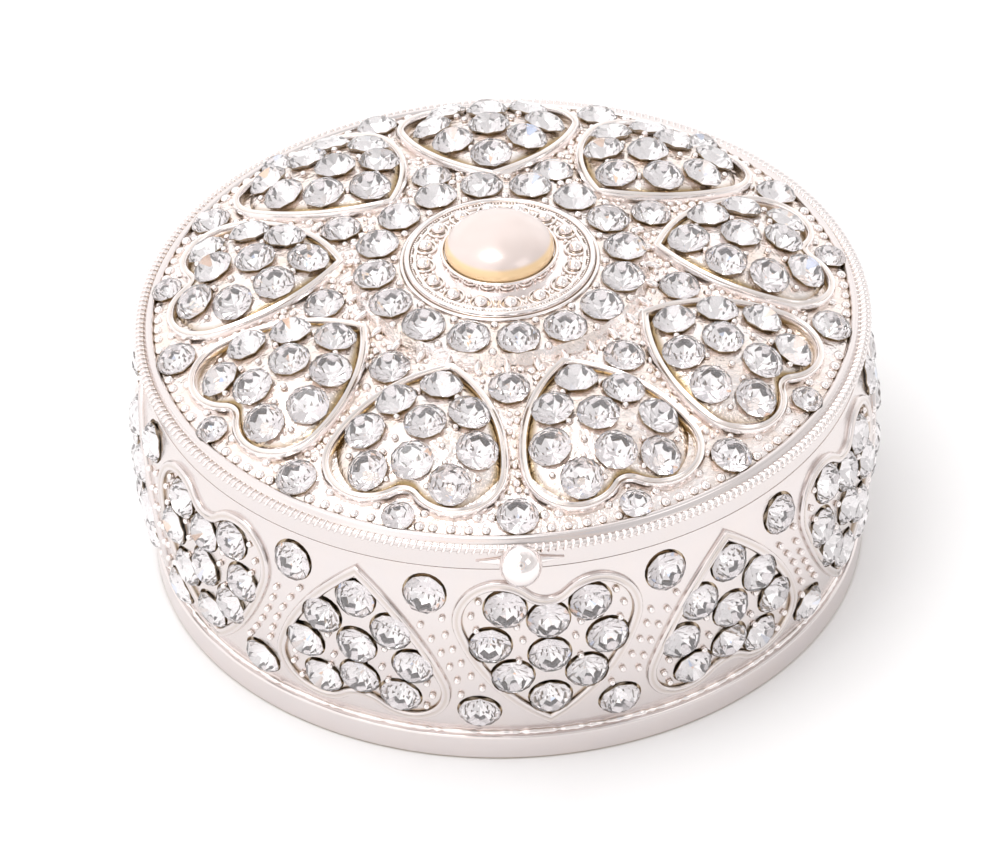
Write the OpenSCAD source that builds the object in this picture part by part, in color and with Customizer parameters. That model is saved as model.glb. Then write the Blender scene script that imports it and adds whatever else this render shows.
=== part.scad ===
// Round kumkum box with a domed, hinged lid, set with stones in heart-shaped frames.
// Millimetres, +Z up. The origin is the middle of the flat base, the thumb catch is at -Y
// and the hinge at +Y.

/* [Body] */
// Widest diameter of the box: the body at its belly and the lid over its beaded rim
box_d = 60; // [59:0.5:66]
// Height of the body's rim, where the lid meets it
rim_z = 19.8; // [16:0.2:26]
// Height of the belly's widest circle
belly_z = 12.2; // [10:0.2:13]
// Radius of the belly's curve, seen from the side
belly_r = 34.3; // [30:0.5:45]
// Depth of the plain foot band inside the belly's widest circle
foot_in = 0.8; // [0:0.1:2]
// Height of the plain foot band
foot_h = 2.3; // [1.6:0.1:3]
// Depth of the plain collar under the seam inside the belly's widest circle
collar_in = 0.7; // [0:0.1:1.2]
// Height of the plain collar
collar_h = 0.7; // [0.5:0.1:1]
// Thickness of the body's wall at its belly
wall_t = 3.2; // [3:0.1:5]
// Thickness of the floor
floor_t = 2.2; // [1.4:0.1:4]
// Turn of the body's pattern about the upright axis, in degrees
body_turn = 4; // [-15:1:15]

/* [Locating lip] */
// Height of the lip above the body's rim
lip_h = 0.9; // [0.5:0.1:1]
// Gap all round between the lip and the lid's skirt
lip_gap = 0.25; // [0.1:0.05:0.4]
// Gap between the closed lid and the body's rim
seam_gap = 0.1; // [0.05:0.05:0.3]

/* [Lid] */
// Thickness of the beaded rim
bead_d = 1; // [0.8:0.1:1.2]
// Depth that the beaded rim's middle lies below the shoulder
bead_drop = 0.3; // [0.1:0.1:0.5]
// Depth of the plain skirt inside the beaded rim
skirt_in = 0.75; // [0.5:0.05:0.95]
// Height of the shoulder above the body's rim
skirt_h = 2.5; // [2.3:0.1:4]
// Thickness of the skirt
skirt_t = 1.4; // [1.2:0.1:1.8]
// Width of the flat shoulder, from the outside of the beaded rim to the dome
shoulder_w = 1.4; // [1:0.1:1.8]
// Rise of the dome above the shoulder
dome_h = 5.1; // [4:0.1:7]
// Thickness of the dome
lid_t = 2.2; // [1.8:0.1:2.6]

/* [Heart frames] */
// Width of the edge of the lid's frames, half of it on each side of the heart's line
lid_frame_w = 1; // [0.6:0.1:1]
// Width of the edge of the body's frames, inside the heart's line
body_frame_w = 0.6; // [0.4:0.1:0.8]
// Height of the lid's frames above the dome
lid_frame_h = 0.9; // [0.6:0.05:1.1]
// Height of the body's frames above the wall
body_frame_h = 0.3; // [0.2:0.05:0.4]
// Number of hearts on the lid
lid_hearts = 9; // [7:1:9]
// Number of hearts round the body, an even number
body_hearts = 12; // [8:2:12]
// Length of a lid heart from tip to lobes, along the dome
lid_heart_l = 13.8; // [12.6:0.1:14]
// Distance of a lid heart's middle from the dome's edge
lid_heart_in = 8.4; // [8.2:0.1:8.8]
// Length of a body heart from tip to lobes
body_heart_l = 15; // [13:0.1:15.2]
// Height of the middle of the body hearts
body_heart_z = 11.15; // [10.8:0.05:11.6]
// Rise of a lid heart's bed above the dome, at its middle
bed_rise = 1.55; // [1.4:0.05:1.7]
// Radius of the curve of a lid heart's bed
bed_r = 15.5; // [15:0.5:20]

/* [Stones] */
// Diameter of a stone
stone_d = 3.4; // [2.6:0.1:3.4]
// Diameter of the smaller stones in the notches of the lid's hearts
small_stone_d = 2.7; // [2:0.1:2.8]
// Height of a stone's widest line above the metal
stone_lift = 0.35; // [0.3:0.05:0.5]
// Gap round a stone in its seat
seat_gap = 0.06; // [0.03:0.01:0.1]
// Number of stones round the pearl setting
ring_stones = 16; // [10:1:16]
// Diameter of the stones round the pearl setting
ring_stone_d = 3.6; // [2.6:0.1:3.6]
// Distance of that ring from the edge of the pearl setting
ring_out = 2.4; // [2.3:0.1:2.8]
// Rise of the band that holds that ring
ring_rise = 0.9; // [0.5:0.1:1.1]
// Distance of the stones between the heart points from the circle of the hearts' middles
gap_stone_in = 5.65; // [5.4:0.05:5.8]
// Distance of the stones between the hearts at the rim from the dome's edge
rim_stone_in = 1.8; // [1.8:0.1:2.6]
// Distance of the small stones in the notches of the hearts from the dome's edge
notch_stone_in = 1.2; // [1.1:0.1:1.6]

/* [Pearl setting] */
// Width of the raised disc round the pearl
border_w = 3.35; // [3.1:0.05:3.6]
// Height of the disc's top above the dome's crown
mount_rise = 0.9; // [0.5:0.1:2]
// Depth that the disc is let into the dome
mount_sink = 1; // [0.6:0.1:1.2]
// Thickness of the wire round the disc
mount_wire_d = 0.5; // [0.3:0.1:0.8]
// Diameter of the balls on the disc
ball_d = 1.15; // [0.8:0.05:1.3]
// Distance of the ring of balls from the pearl
ball_out = 1.75; // [1.45:0.05:1.95]
// Number of balls on the disc
balls = 16; // [10:1:16]
// Diameter of the half pearl
pearl_d = 8.9; // [7:0.1:9.2]
// Height of the collar round the pearl
pearl_collar_h = 0.9; // [0.6:0.1:1.4]
// Thickness of the collar round the pearl
pearl_collar_t = 0.3; // [0.2:0.05:0.5]
// Gap round the pearl in its collar
pearl_gap = 0.05; // [0.02:0.01:0.1]
// Rise of the pearl above its collar
pearl_rise = 2.4; // [2:0.1:4]

/* [Thumb catch] */
// Diameter of the thumb ball
thumb_d = 3.4; // [2.6:0.1:4]
// Distance of the ball's middle outside the skirt
thumb_out = 1.35; // [0.8:0.05:1.6]
// Height of the ball's middle above the body's rim
thumb_z = 1.4; // [1:0.1:2]
// Height of the pointed plate's middle above the body's rim
thumb_plate_z = 0.9; // [0.9:0.1:1.4]
// Width of the pointed plate behind the ball
thumb_plate_w = 7; // [5:0.1:9]
// Height of the pointed plate behind the ball
thumb_plate_h = 1.3; // [1:0.1:1.4]
// Thickness of the pointed plate
thumb_plate_t = 0.4; // [0.3:0.05:0.6]
// Gap of the solder joint behind a piece that is fixed to a casting
solder_gap = 0.03; // [0.01:0.01:0.08]
// Gap between a lid piece and the body's collar
collar_gap = 0.3; // [0.2:0.05:0.5]

/* [Hinge] */
// Diameter of the hinge pin
pin_d = 1; // [0.8:0.05:1.2]
// Gap all round between the pin and its knuckles
pin_gap = 0.05; // [0.02:0.01:0.1]
// Diameter of a knuckle
knuckle_d = 2.6; // [2.2:0.1:2.8]
// Length of the lid's knuckle
lid_knuckle_l = 5; // [3:0.1:8]
// Length of each of the body's knuckles
body_knuckle_l = 2.6; // [2:0.1:4]
// Gap between neighbouring knuckles
knuckle_gap = 0.3; // [0.2:0.05:0.5]
// Height of each leaf, from the hinge's axis
leaf_h = 1; // [0.8:0.05:1]

/* [Hidden] */
$fn = 96;
// Overrun of a cut past the face that it opens
over = bead_d;

// A stone's table, crown and point, and the middle of a frame's edge or a heart, as shares
table_share = 0.56;
crown_share = 0.18;
point_share = 0.38;
mitre_share = 0.5;

// Heart outline, as shares of the heart's length: lobe centre, lobe radius and notch radius
lid_lobe_shares = [0.251, 0.729];
lid_lobe_r_share = 0.268;
lid_notch_share = 0.107;
lid_lobe_turn = 12;
body_lobe_shares = [0.263, 0.754];
body_lobe_r_share = 0.246;
body_notch_share = 0.138;
body_lobe_turn = 18.4;

// Stones of a heart, as shares of its length: across and from the tip
lid_stone_shares = [
  [0, 0.18], [-0.219, 0.349], [0.219, 0.349], [0, 0.487], [-0.333, 0.588],
  [0.333, 0.588], [0, 0.752], [-0.243, 0.841], [0.243, 0.841]
];
body_stone_shares = [
  [0, 0.204], [-0.199, 0.374], [0.199, 0.374], [0, 0.516], [-0.313, 0.594],
  [0.313, 0.594], [0, 0.748], [-0.228, 0.828], [0.228, 0.828]
];
// Middle of a lid heart's bed, from the tip, and depth of its foot under the dome
bed_share = 0.53;
bed_foot_share = 0.4;
// Stones beside a body heart's point: across and from the tip, as shares of the heart's length
flank_stone_shares = [0.387, 0.098];

box_r = box_d / 2;
bore_r = box_r - wall_t;
foot_r = box_r - foot_in;
collar_r = box_r - collar_in;
collar_z = rim_z - collar_h;
belly_c = box_r - belly_r;
rim_r = box_r - bead_d / 2;
skirt_r = box_r - skirt_in;
skirt_in_r = skirt_r - skirt_t;
lip_r = skirt_in_r - lip_gap;
lid_z = rim_z + seam_gap;
shoulder_z = rim_z + skirt_h;
dome_edge_r = box_r - shoulder_w;
dome_r = (dome_edge_r * dome_edge_r + dome_h * dome_h) / (2 * dome_h);
dome_z = shoulder_z + dome_h;
dome_c = dome_z - dome_r;
pocket_z = rim_z + lip_h + lip_gap;
pearl_r = pearl_d / 2;
mount_r = pearl_r + border_w;
ball_ring_r = pearl_r + ball_out;
mount_z = dome_z - mount_sink;
disc_z = dome_z + mount_rise;
pearl_in_r = pearl_r + pearl_gap;
collar_top_z = disc_z + pearl_collar_h;
pearl_curve_r = (pearl_r * pearl_r + pearl_rise * pearl_rise) / (2 * pearl_rise);
ring_r = mount_r + ring_out;
band_w = ring_stone_d;
band_in_r = mount_r + solder_gap;
band_out_r = ring_r + band_w / 2;
ring_turn = 270 + 180 / ring_stones / 2;
lid_heart_r = dome_edge_r - lid_heart_in;
gap_stone_r = lid_heart_r - gap_stone_in;
rim_stone_r = dome_edge_r - rim_stone_in;
notch_stone_r = dome_edge_r - notch_stone_in;
lid_step = 360 / lid_hearts;
body_step = 360 / body_hearts;
// Radius of the belly at a height
function wall_r(z) = belly_c + sqrt(belly_r * belly_r - (z - belly_z) * (z - belly_z));
// The axis of the hinge lies behind the wider of collar and skirt
hinge_y = max(collar_r, skirt_r) + collar_gap + knuckle_d / 2;
hinge_z = rim_z;
hinge_l = lid_knuckle_l + 2 * (body_knuckle_l + knuckle_gap);

// Heart outline with its tip at the origin and its lobes at +Y, grown outwards by g.
// Each flank is one arc that leaves the lobe's circle without a kink.
function arc(c, r, from, to, n) =
  [for (k = [0:n]) c + r * [cos(from + (to - from) * k / n), sin(from + (to - from) * k / n)]];

function heart_half(c, r, turn, notch, g) =
  let (
    u = [cos(turn), -sin(turn)],
    t = c + r * u,
    flank_r = (t * t) / (2 * (u * t)),
    f = t - flank_r * u,
    tip_y = f[1] - sqrt(pow(flank_r + g, 2) - f[0] * f[0]),
    notch_y = c[1] + sqrt(pow(r + notch, 2) - c[0] * c[0]),
    meet = atan2(notch_y - c[1], -c[0]),
    flank = arc(f, flank_r + g, atan2(tip_y - f[1], -f[0]), -turn, 4),
    lobe = arc(c, r + g, -turn, meet, 7),
    dip = arc([0, notch_y], notch - g, meet - 180, -90, 2)
  )
  concat(
    [[0, tip_y]],
    [for (k = [1:4]) flank[k]],
    [for (k = [1:7]) lobe[k]],
    [for (k = [1:2]) dip[k]]
  );

module heart(half) {
  polygon(concat(half, [for (k = [len(half) - 2:-1:1]) [-half[k][0], half[k][1]]]));
}

module lid_heart(g) {
  heart(heart_half(lid_lobe_shares * lid_heart_l, lid_lobe_r_share * lid_heart_l,
    lid_lobe_turn, lid_notch_share * lid_heart_l, g));
}

module body_heart(g) {
  heart(heart_half(body_lobe_shares * body_heart_l, body_lobe_r_share * body_heart_l,
    body_lobe_turn, body_notch_share * body_heart_l, g));
}

// A brilliant-cut stone of eight sides: its widest line lies in the plane z = 0
module stone(d) {
  half_w = d / 2 * cos(180 / 8);
  section = [
    [-half_w, 0], [-half_w * table_share, d * crown_share], [half_w * table_share, d * crown_share],
    [half_w, 0], [0, -d * point_share]
  ];
  intersection() {
    stone_slab(section, d, 0);
    stone_slab(section, d, 45);
    stone_slab(section, d, 90);
    stone_slab(section, d, 135);
  }
}

module stone_slab(section, d, turn) {
  rotate([90, 0, turn]) translate([0, 0, -d]) linear_extrude(2 * d) polygon(section);
}

// The seat that is cut for a stone: a round hole that its cone stands in.
// The metal's surface lies in the plane z = 0.
module seat(d) {
  hole_r = d / 2 * (1 - stone_lift / (d * point_share)) + seat_gap;
  depth = d * point_share - stone_lift + seat_gap;
  translate([0, 0, -depth]) cylinder(r = hole_r, h = depth + stone_lift);
}

// A stone or its seat, where the metal's surface lies in the plane z = 0
module set_stone(d, cut) {
  if (cut) seat(d);
  else translate([0, 0, stone_lift]) stone(d);
}

// Moves to the point of a ball's surface that lies above the place p, upright to the surface
module on_ball(centre, r, p) {
  across = [p[0] - centre[0], p[1] - centre[1]];
  translate(centre)
    rotate([0, asin(norm(across) / r), atan2(across[1], across[0])])
      translate([0, 0, r]) children();
}

module on_dome(radius, turn) {
  on_ball([0, 0, dome_c], dome_r, radius * [cos(turn), sin(turn)]) children();
}

// Moves to the belly's surface at a height and a turn, upright to the surface
module on_belly(z, turn) {
  tilt = asin((z - belly_z) / belly_r);
  rotate([0, 0, turn]) translate([belly_c, 0, belly_z])
    rotate([0, 90 - tilt, 0]) translate([0, 0, belly_r]) children();
}

// Moves to the middle of a lid heart's bed, on the dome, with the heart's tip towards the pearl
module on_lid_heart() {
  translate([0, 0, dome_c]) rotate([-asin(lid_heart_r / dome_r), 0, 0])
    translate([0, -bed_share * lid_heart_l, dome_r]) children();
}

module lid_heart_set(cut) {
  on_lid_heart() for (s = lid_stone_shares) {
    on_ball([0, bed_share * lid_heart_l, bed_rise - bed_r], bed_r, s * lid_heart_l)
      set_stone(stone_d, cut);
  }
}

module at_lid_heart(k) {
  rotate([0, 0, 180 + (k - 0.5) * lid_step]) children();
}

module lid_ring_set(cut) {
  for (k = [1:ring_stones]) {
    rotate([0, 0, ring_turn + 360 * k / ring_stones])
      on_ball([0, 0, dome_c], dome_r + ring_rise, [ring_r, 0]) set_stone(ring_stone_d, cut);
  }
}

module lid_gap_set(cut) {
  for (k = [1:lid_hearts]) on_dome(gap_stone_r, 270 + k * lid_step) set_stone(stone_d, cut);
}

module lid_rim_set(cut) {
  for (k = [1:lid_hearts]) on_dome(rim_stone_r, 270 + k * lid_step) set_stone(stone_d, cut);
}

module lid_notch_set(cut) {
  for (k = [1:lid_hearts]) {
    on_dome(notch_stone_r, 270 + (k - 0.5) * lid_step) set_stone(small_stone_d, cut);
  }
}

// Turn of the body's heart k, and 1 where it points down or -1 where it points up
function body_heart_turn(k) = 270 + body_turn + (k - 1) * body_step;
function body_heart_way(k) = k % 2 == 1 ? 1 : -1;

// Turn that moves a place sideways by a distance on the belly
function side_turn(w) = w / box_r * 180 / PI;

module body_heart_set(k, cut) {
  for (s = body_stone_shares) {
    z = body_heart_z + body_heart_way(k) * (s[1] - mitre_share) * body_heart_l;
    on_belly(z, body_heart_turn(k) + side_turn(s[0] * body_heart_l)) set_stone(stone_d, cut);
  }
}

module side_point_set(cut) {
  for (k = [1:body_hearts], way = [-1, 1]) {
    z = body_heart_z + body_heart_way(k) * (flank_stone_shares[1] - mitre_share) * body_heart_l;
    w = way * flank_stone_shares[0] * body_heart_l;
    on_belly(z, body_heart_turn(k) + side_turn(w)) set_stone(stone_d, cut);
  }
}

module silver() {
  color([0.86, 0.85, 0.84]) children();
}

module crystal() {
  color([0.93, 0.95, 0.98]) children();
}

// Outside of the body in section, without its frames
module body_section() {
  polygon([
    [0, 0], [foot_r - body_frame_w / 2, 0], [foot_r, body_frame_w / 2], [foot_r, foot_h], [0, foot_h]
  ]);
  intersection() {
    translate([belly_c, belly_z]) circle(r = belly_r);
    translate([0, foot_h / 2]) square([box_d, collar_z - foot_h / 2]);
  }
  translate([0, belly_z]) square([collar_r, rim_z - belly_z]);
}

module body_frames() {
  intersection() {
    for (k = [1:body_hearts]) {
      rotate([0, 0, body_heart_turn(k)]) translate([bore_r + over, 0, body_heart_z])
        rotate([90, 0, 90]) rotate(body_heart_way(k) * 90 - 90) translate([0, -body_heart_l / 2])
          linear_extrude(box_r) difference() {
            body_heart(0);
            body_heart(-body_frame_w);
            for (s = body_stone_shares) translate(s * body_heart_l) circle(d = stone_d + 2 * seat_gap);
          }
    }
    rotate_extrude() intersection() {
      translate([belly_c, belly_z]) circle(r = belly_r + body_frame_h);
      translate([0, foot_h]) square([box_d, rim_z - foot_h]);
    }
  }
}

module body_casting() {
  silver() {
    difference() {
      rotate_extrude() difference() {
        union() {
          body_section();
          square([lip_r, rim_z + lip_h]);
        }
        translate([-over, floor_t]) square([bore_r + over, rim_z + over]);
      }
      for (k = [1:body_hearts]) body_heart_set(k, true);
      side_point_set(true);
    }
    body_frames();
  }
}

// One leaf of the hinge: its knuckles and the foot that joins them to a wall
module hinge_leaf(wall, up, places, length) {
  difference() {
    for (x = places) {
      translate([x - length / 2, hinge_y, hinge_z]) rotate([0, 90, 0]) cylinder(d = knuckle_d, h = length);
      translate([x - length / 2, 0, up ? lid_z : hinge_z - leaf_h])
        cube([length, hinge_y, leaf_h - seam_gap]);
    }
    translate([0, 0, hinge_z - 2 * leaf_h]) cylinder(r = wall + solder_gap, h = 4 * leaf_h);
    translate([-hinge_l, hinge_y, hinge_z]) rotate([0, 90, 0])
      cylinder(d = pin_d + 2 * pin_gap, h = 2 * hinge_l);
  }
}

module body_hinge_leaf() {
  place = (hinge_l - body_knuckle_l) / 2;
  wall = max(collar_r, wall_r(hinge_z - leaf_h));
  silver() hinge_leaf(wall, false, [-place, place], body_knuckle_l);
}

module lid_hinge_leaf() {
  silver() hinge_leaf(skirt_r, true, [0], lid_knuckle_l);
}

module hinge_pin() {
  color("gray") translate([-hinge_l / 2, hinge_y, hinge_z]) rotate([0, 90, 0])
    cylinder(d = pin_d, h = hinge_l);
}

module lid_section() {
  // Skirt, shoulder and beaded rim
  translate([0, lid_z]) square([skirt_r, shoulder_z - lid_z]);
  translate([rim_r, shoulder_z - bead_drop]) circle(d = bead_d);
  // Dome
  intersection() {
    translate([0, dome_c]) circle(r = dome_r);
    translate([0, lid_z]) square([dome_edge_r, dome_z]);
  }
  // Raised band round the pearl setting
  intersection() {
    translate([0, dome_c]) circle(r = dome_r + ring_rise);
    translate([0, lid_z]) square([band_out_r, dome_z]);
  }
}

module lid_hollow() {
  translate([-over, 0]) square([skirt_in_r + over, pocket_z]);
  intersection() {
    translate([0, dome_c]) circle(r = dome_r - lid_t);
    translate([-over, 0]) square([skirt_in_r + over, dome_z]);
  }
  translate([-over, mount_z]) square([band_in_r + over, dome_z]);
}

module lid_frames() {
  intersection() {
    for (k = [1:lid_hearts]) {
      at_lid_heart(k) on_lid_heart() translate([0, 0, -bed_foot_share * lid_t]) linear_extrude(lid_t)
        difference() {
          lid_heart(lid_frame_w * mitre_share);
          lid_heart(-lid_frame_w * mitre_share);
          for (s = lid_stone_shares) translate(s * lid_heart_l) circle(d = stone_d + 2 * seat_gap);
        }
    }
    rotate_extrude() intersection() {
      translate([0, dome_c]) circle(r = dome_r + lid_frame_h);
      translate([0, rim_z]) square([box_r, dome_z]);
    }
  }
}

// The bulging beds inside the frames, in which the stones of the lid's hearts are set
module lid_beds() {
  for (k = [1:lid_hearts]) {
    at_lid_heart(k) on_lid_heart() intersection() {
      translate([0, 0, -bed_foot_share * lid_t]) linear_extrude(lid_t + bed_rise)
        lid_heart(0);
      translate([0, bed_share * lid_heart_l, bed_rise - bed_r]) sphere(r = bed_r);
    }
  }
}

module lid_casting() {
  silver() difference() {
    union() {
      rotate_extrude() difference() {
        lid_section();
        lid_hollow();
      }
      lid_frames();
      lid_beds();
    }
    for (k = [1:lid_hearts]) at_lid_heart(k) lid_heart_set(true);
    lid_ring_set(true);
    lid_gap_set(true);
    lid_rim_set(true);
    lid_notch_set(true);
  }
}

module pearl_setting() {
  silver() difference() {
    union() {
      rotate_extrude() {
        translate([0, mount_z + solder_gap]) square([mount_r - solder_gap, disc_z - mount_z - solder_gap]);
        translate([mount_r - mount_wire_d / 2 - solder_gap, disc_z]) circle(d = mount_wire_d);
        translate([0, disc_z - pearl_collar_h]) square([pearl_in_r + pearl_collar_t, 2 * pearl_collar_h]);
      }
      for (k = [1:balls]) {
        rotate([0, 0, ring_turn + 360 * k / balls]) translate([ball_ring_r, 0, disc_z]) sphere(d = ball_d);
      }
    }
    translate([0, 0, disc_z]) cylinder(r = pearl_in_r, h = 2 * pearl_collar_h);
  }
}

module pearl() {
  color([0.97, 0.92, 0.84]) rotate_extrude() {
    translate([0, disc_z + solder_gap]) square([pearl_r, pearl_collar_h - solder_gap]);
    intersection() {
      translate([0, collar_top_z + pearl_rise - pearl_curve_r]) circle(r = pearl_curve_r);
      translate([0, collar_top_z]) square([pearl_r, pearl_rise]);
    }
  }
}

// The ball and its pointed plate, cut to the skirt behind and kept off the body's collar below
module thumb_catch() {
  plate_r = (pow(thumb_plate_w / 2, 2) + pow(thumb_plate_h / 2, 2)) / thumb_plate_h;
  silver() difference() {
    union() {
      translate([0, -skirt_r - thumb_out, rim_z + thumb_z]) sphere(d = thumb_d);
      intersection() {
        rotate_extrude() translate([skirt_r - thumb_plate_t, rim_z]) square([2 * thumb_plate_t, skirt_h]);
        translate([0, 0, rim_z + thumb_plate_z]) rotate([90, 0, 0]) linear_extrude(box_d) intersection() {
          translate([0, plate_r - thumb_plate_h / 2]) circle(r = plate_r);
          translate([0, thumb_plate_h / 2 - plate_r]) circle(r = plate_r);
        }
      }
    }
    translate([0, 0, rim_z]) cylinder(r = skirt_r + solder_gap, h = 2 * skirt_h);
    cylinder(r = collar_r + collar_gap, h = lid_z);
    rotate_extrude() translate([rim_r, shoulder_z - bead_drop])
      circle(d = bead_d + 2 * solder_gap);
  }
}

module side_point_stones() {
  crystal() side_point_set(false);
}

module lid_ring_stones() {
  crystal() lid_ring_set(false);
}

module lid_gap_stones() {
  crystal() lid_gap_set(false);
}

module lid_rim_stones() {
  crystal() lid_rim_set(false);
}

module lid_notch_stones() {
  crystal() lid_notch_set(false);
}

body_casting();
body_hinge_leaf();
hinge_pin();
side_point_stones();
lid_casting();
lid_hinge_leaf();
thumb_catch();
pearl_setting();
pearl();
lid_ring_stones();
lid_gap_stones();
lid_rim_stones();
lid_notch_stones();
for (k = [1:body_hearts]) {
  crystal() body_heart_set(k, false);
}
for (k = [1:lid_hearts]) {
  union() {
    crystal() at_lid_heart(k) lid_heart_set(false);
  }
}
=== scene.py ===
"""A round, silver-plated kumkum box: a domed lid on a hinge, stones in heart-shaped frames, a half pearl.

Lengths are metres, +Z is up, the thumb catch is at -Y and the hinge at +Y. Each operator makes one
group of like pieces around the packed frame, and the panel in the sidebar lists them.
"""

import math
import random

import bpy
from bpy.props import FloatProperty, FloatVectorProperty, IntProperty, PointerProperty
from mathutils import Matrix, Vector


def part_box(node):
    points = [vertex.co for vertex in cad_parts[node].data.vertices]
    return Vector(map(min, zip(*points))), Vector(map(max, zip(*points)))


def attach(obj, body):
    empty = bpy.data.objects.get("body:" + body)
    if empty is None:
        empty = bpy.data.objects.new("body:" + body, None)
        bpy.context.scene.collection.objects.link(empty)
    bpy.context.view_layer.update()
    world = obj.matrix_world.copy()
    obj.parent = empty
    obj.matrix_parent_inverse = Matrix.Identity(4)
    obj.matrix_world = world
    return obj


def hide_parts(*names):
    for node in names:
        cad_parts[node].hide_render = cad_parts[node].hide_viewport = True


bl_info = {
    "name": "Kumkum box",
    "version": (1, 0, 0),
    "blender": (4, 5, 0),
    "location": "View3D > Sidebar > Kumkum box",
    "description": "Makes a stone-set silver kumkum box piece by piece",
    "category": "Object",
}

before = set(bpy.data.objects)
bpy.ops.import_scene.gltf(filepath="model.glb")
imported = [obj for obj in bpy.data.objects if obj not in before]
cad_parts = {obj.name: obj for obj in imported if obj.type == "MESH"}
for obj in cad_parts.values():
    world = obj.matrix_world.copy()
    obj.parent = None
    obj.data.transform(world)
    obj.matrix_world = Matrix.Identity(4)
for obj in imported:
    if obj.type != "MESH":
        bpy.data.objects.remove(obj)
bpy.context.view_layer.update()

MM = 0.001
FULL_TURN = 2 * math.pi


def half_width(node):
    """Half of a packed node's size along X."""
    low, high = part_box(node)
    return (high.x - low.x) / 2


def length(name, description, default):
    """A property that holds a length."""
    return FloatProperty(
        name=name, description=description, default=default, min=0, unit="LENGTH", precision=5)


def colour(name, description, default):
    """A property that holds a colour."""
    return FloatVectorProperty(
        name=name, description=description, default=default, subtype="COLOR", min=0, max=1)


# Sizes and colours that a user would change


class KumkumBodySizes(bpy.types.PropertyGroup):
    """Sizes of the cup."""

    radius: length("Belly radius", "Radius of the belly at its widest", 30.0 * MM)
    belly_z: length("Belly height", "Height of the belly's widest circle", 12.2 * MM)
    belly_curve: length("Belly curve", "Radius of the belly's curve, seen from the side", 34.3 * MM)
    foot_radius: length("Foot radius", "Radius of the plain foot band", 29.2 * MM)
    foot_height: length("Foot height", "Height of the plain foot band", 2.3 * MM)
    collar_radius: length("Collar radius", "Radius of the plain collar under the seam", 29.3 * MM)
    collar_height: length("Collar height", "Height of the plain collar", 0.7 * MM)
    rim_z: length("Rim height", "Height of the cup's rim", 19.8 * MM)
    bore_radius: length("Bore radius", "Inside radius of the cup", 26.8 * MM)
    floor: length("Floor", "Thickness of the floor", 2.2 * MM)
    lip_radius: length("Lip radius", "Outside radius of the locating lip", 27.6 * MM)
    lip_height: length("Lip height", "Height of the locating lip above the rim", 0.9 * MM)


class KumkumLidSizes(bpy.types.PropertyGroup):
    """Sizes of the lid."""

    rim_radius: length("Rim radius", "Radius over the beaded rim", half_width("lid_casting"))
    bead: length("Rim bead", "Radius of the beaded rim's section", 0.5 * MM)
    bead_drop: length("Rim drop", "Depth of the beaded rim's middle below the shoulder", 0.3 * MM)
    skirt_radius: length("Skirt radius", "Outside radius of the plain skirt", 29.25 * MM)
    skirt_inner: length("Skirt bore", "Inside radius of the skirt", 27.85 * MM)
    bottom_z: length("Bottom height", "Height of the skirt's bottom edge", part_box("lid_casting")[0].z)
    pocket_z: length("Pocket height", "Height of the ceiling over the lip", 20.95 * MM)
    shoulder_z: length("Shoulder height", "Height of the flat shoulder", 22.3 * MM)
    dome_edge: length("Dome edge", "Radius at which the dome leaves the shoulder", 28.6 * MM)
    dome_rise: length("Dome rise", "Rise of the dome above the shoulder", 5.1 * MM)
    thickness: length("Thickness", "Thickness of the dome", 2.2 * MM)


class KumkumHeartSizes(bpy.types.PropertyGroup):
    """Sizes of the heart-shaped frames."""

    lid_length: length("Lid heart length", "Length of a lid heart along the dome", 13.8 * MM)
    lid_radius: length("Lid heart distance", "Distance of a lid heart's middle from the axis", 20.2 * MM)
    side_length: length("Side heart length", "Length of a side heart", 15.0 * MM)
    side_z: length("Side heart height", "Height of a side heart's middle", 11.15 * MM)
    side_turn: FloatProperty(
        name="Side turn", description="Turn of the side pattern", default=math.radians(4), subtype="ANGLE")
    edge_width: length("Edge width", "Width of a frame's double edge", 0.9 * MM)
    lid_outside: length("Lid edge outside", "Part of a lid frame's edge outside the heart's line", 0.55 * MM)
    side_outside: length(
        "Side edge outside", "Part of a side frame's edge outside the heart's line", 0.1 * MM)
    lid_frame: length("Lid frame height", "Height of the lid's frames above the dome", 0.72 * MM)
    side_frame: length("Side frame height", "Height of the side frames above the wall", 0.36 * MM)
    bed_rise: length("Bed rise", "Rise of a lid heart's bed at its middle", 1.55 * MM)
    bed_curve: length("Bed curve", "Radius of the curve of a lid heart's bed", 15.5 * MM)


class KumkumStoneSizes(bpy.types.PropertyGroup):
    """Sizes of the stones and of the metal round them."""

    diameter: length("Stone", "Diameter of a stone", 3.4 * MM)
    small: length("Small stone", "Diameter of the stones in the notches of the lid's hearts", 2.7 * MM)
    ring: length("Ring stone", "Diameter of the stones round the pearl", 3.6 * MM)
    lid_size: length("Lid stone", "Diameter over the girdle of a stone of the lid's hearts", 3.5 * MM)
    lift: length("Lift", "Height of a stone's widest line above the lid's metal", 0.35 * MM)
    side_lift: length("Side lift", "Height of a stone's widest line above the side's metal", 0.18 * MM)
    pit_room: length("Pit room", "Room round a stone in its pit", 0.12 * MM)
    pit_depth: length("Pit depth", "Depth of the pit round a stone", 0.32 * MM)
    ring_radius: length("Ring radius", "Radius of the ring of stones round the pearl", 10.2 * MM)
    ring_rise: length("Ring rise", "Rise of the band under that ring", 0.9 * MM)
    gap_radius: length("Gap radius", "Radius of the stones between the heart points", 14.55 * MM)
    rim_radius: length("Outer radius", "Radius of the stones between the hearts at the rim", 26.8 * MM)
    notch_radius: length("Notch radius", "Radius of the small stones in the notches", 27.4 * MM)
    tilt: FloatProperty(
        name="Tilt", description="Largest tilt of a hand-set stone", default=math.radians(3), subtype="ANGLE")
    seed: IntProperty(name="Seed", description="Seed of the small turns and tilts", default=7)


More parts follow.
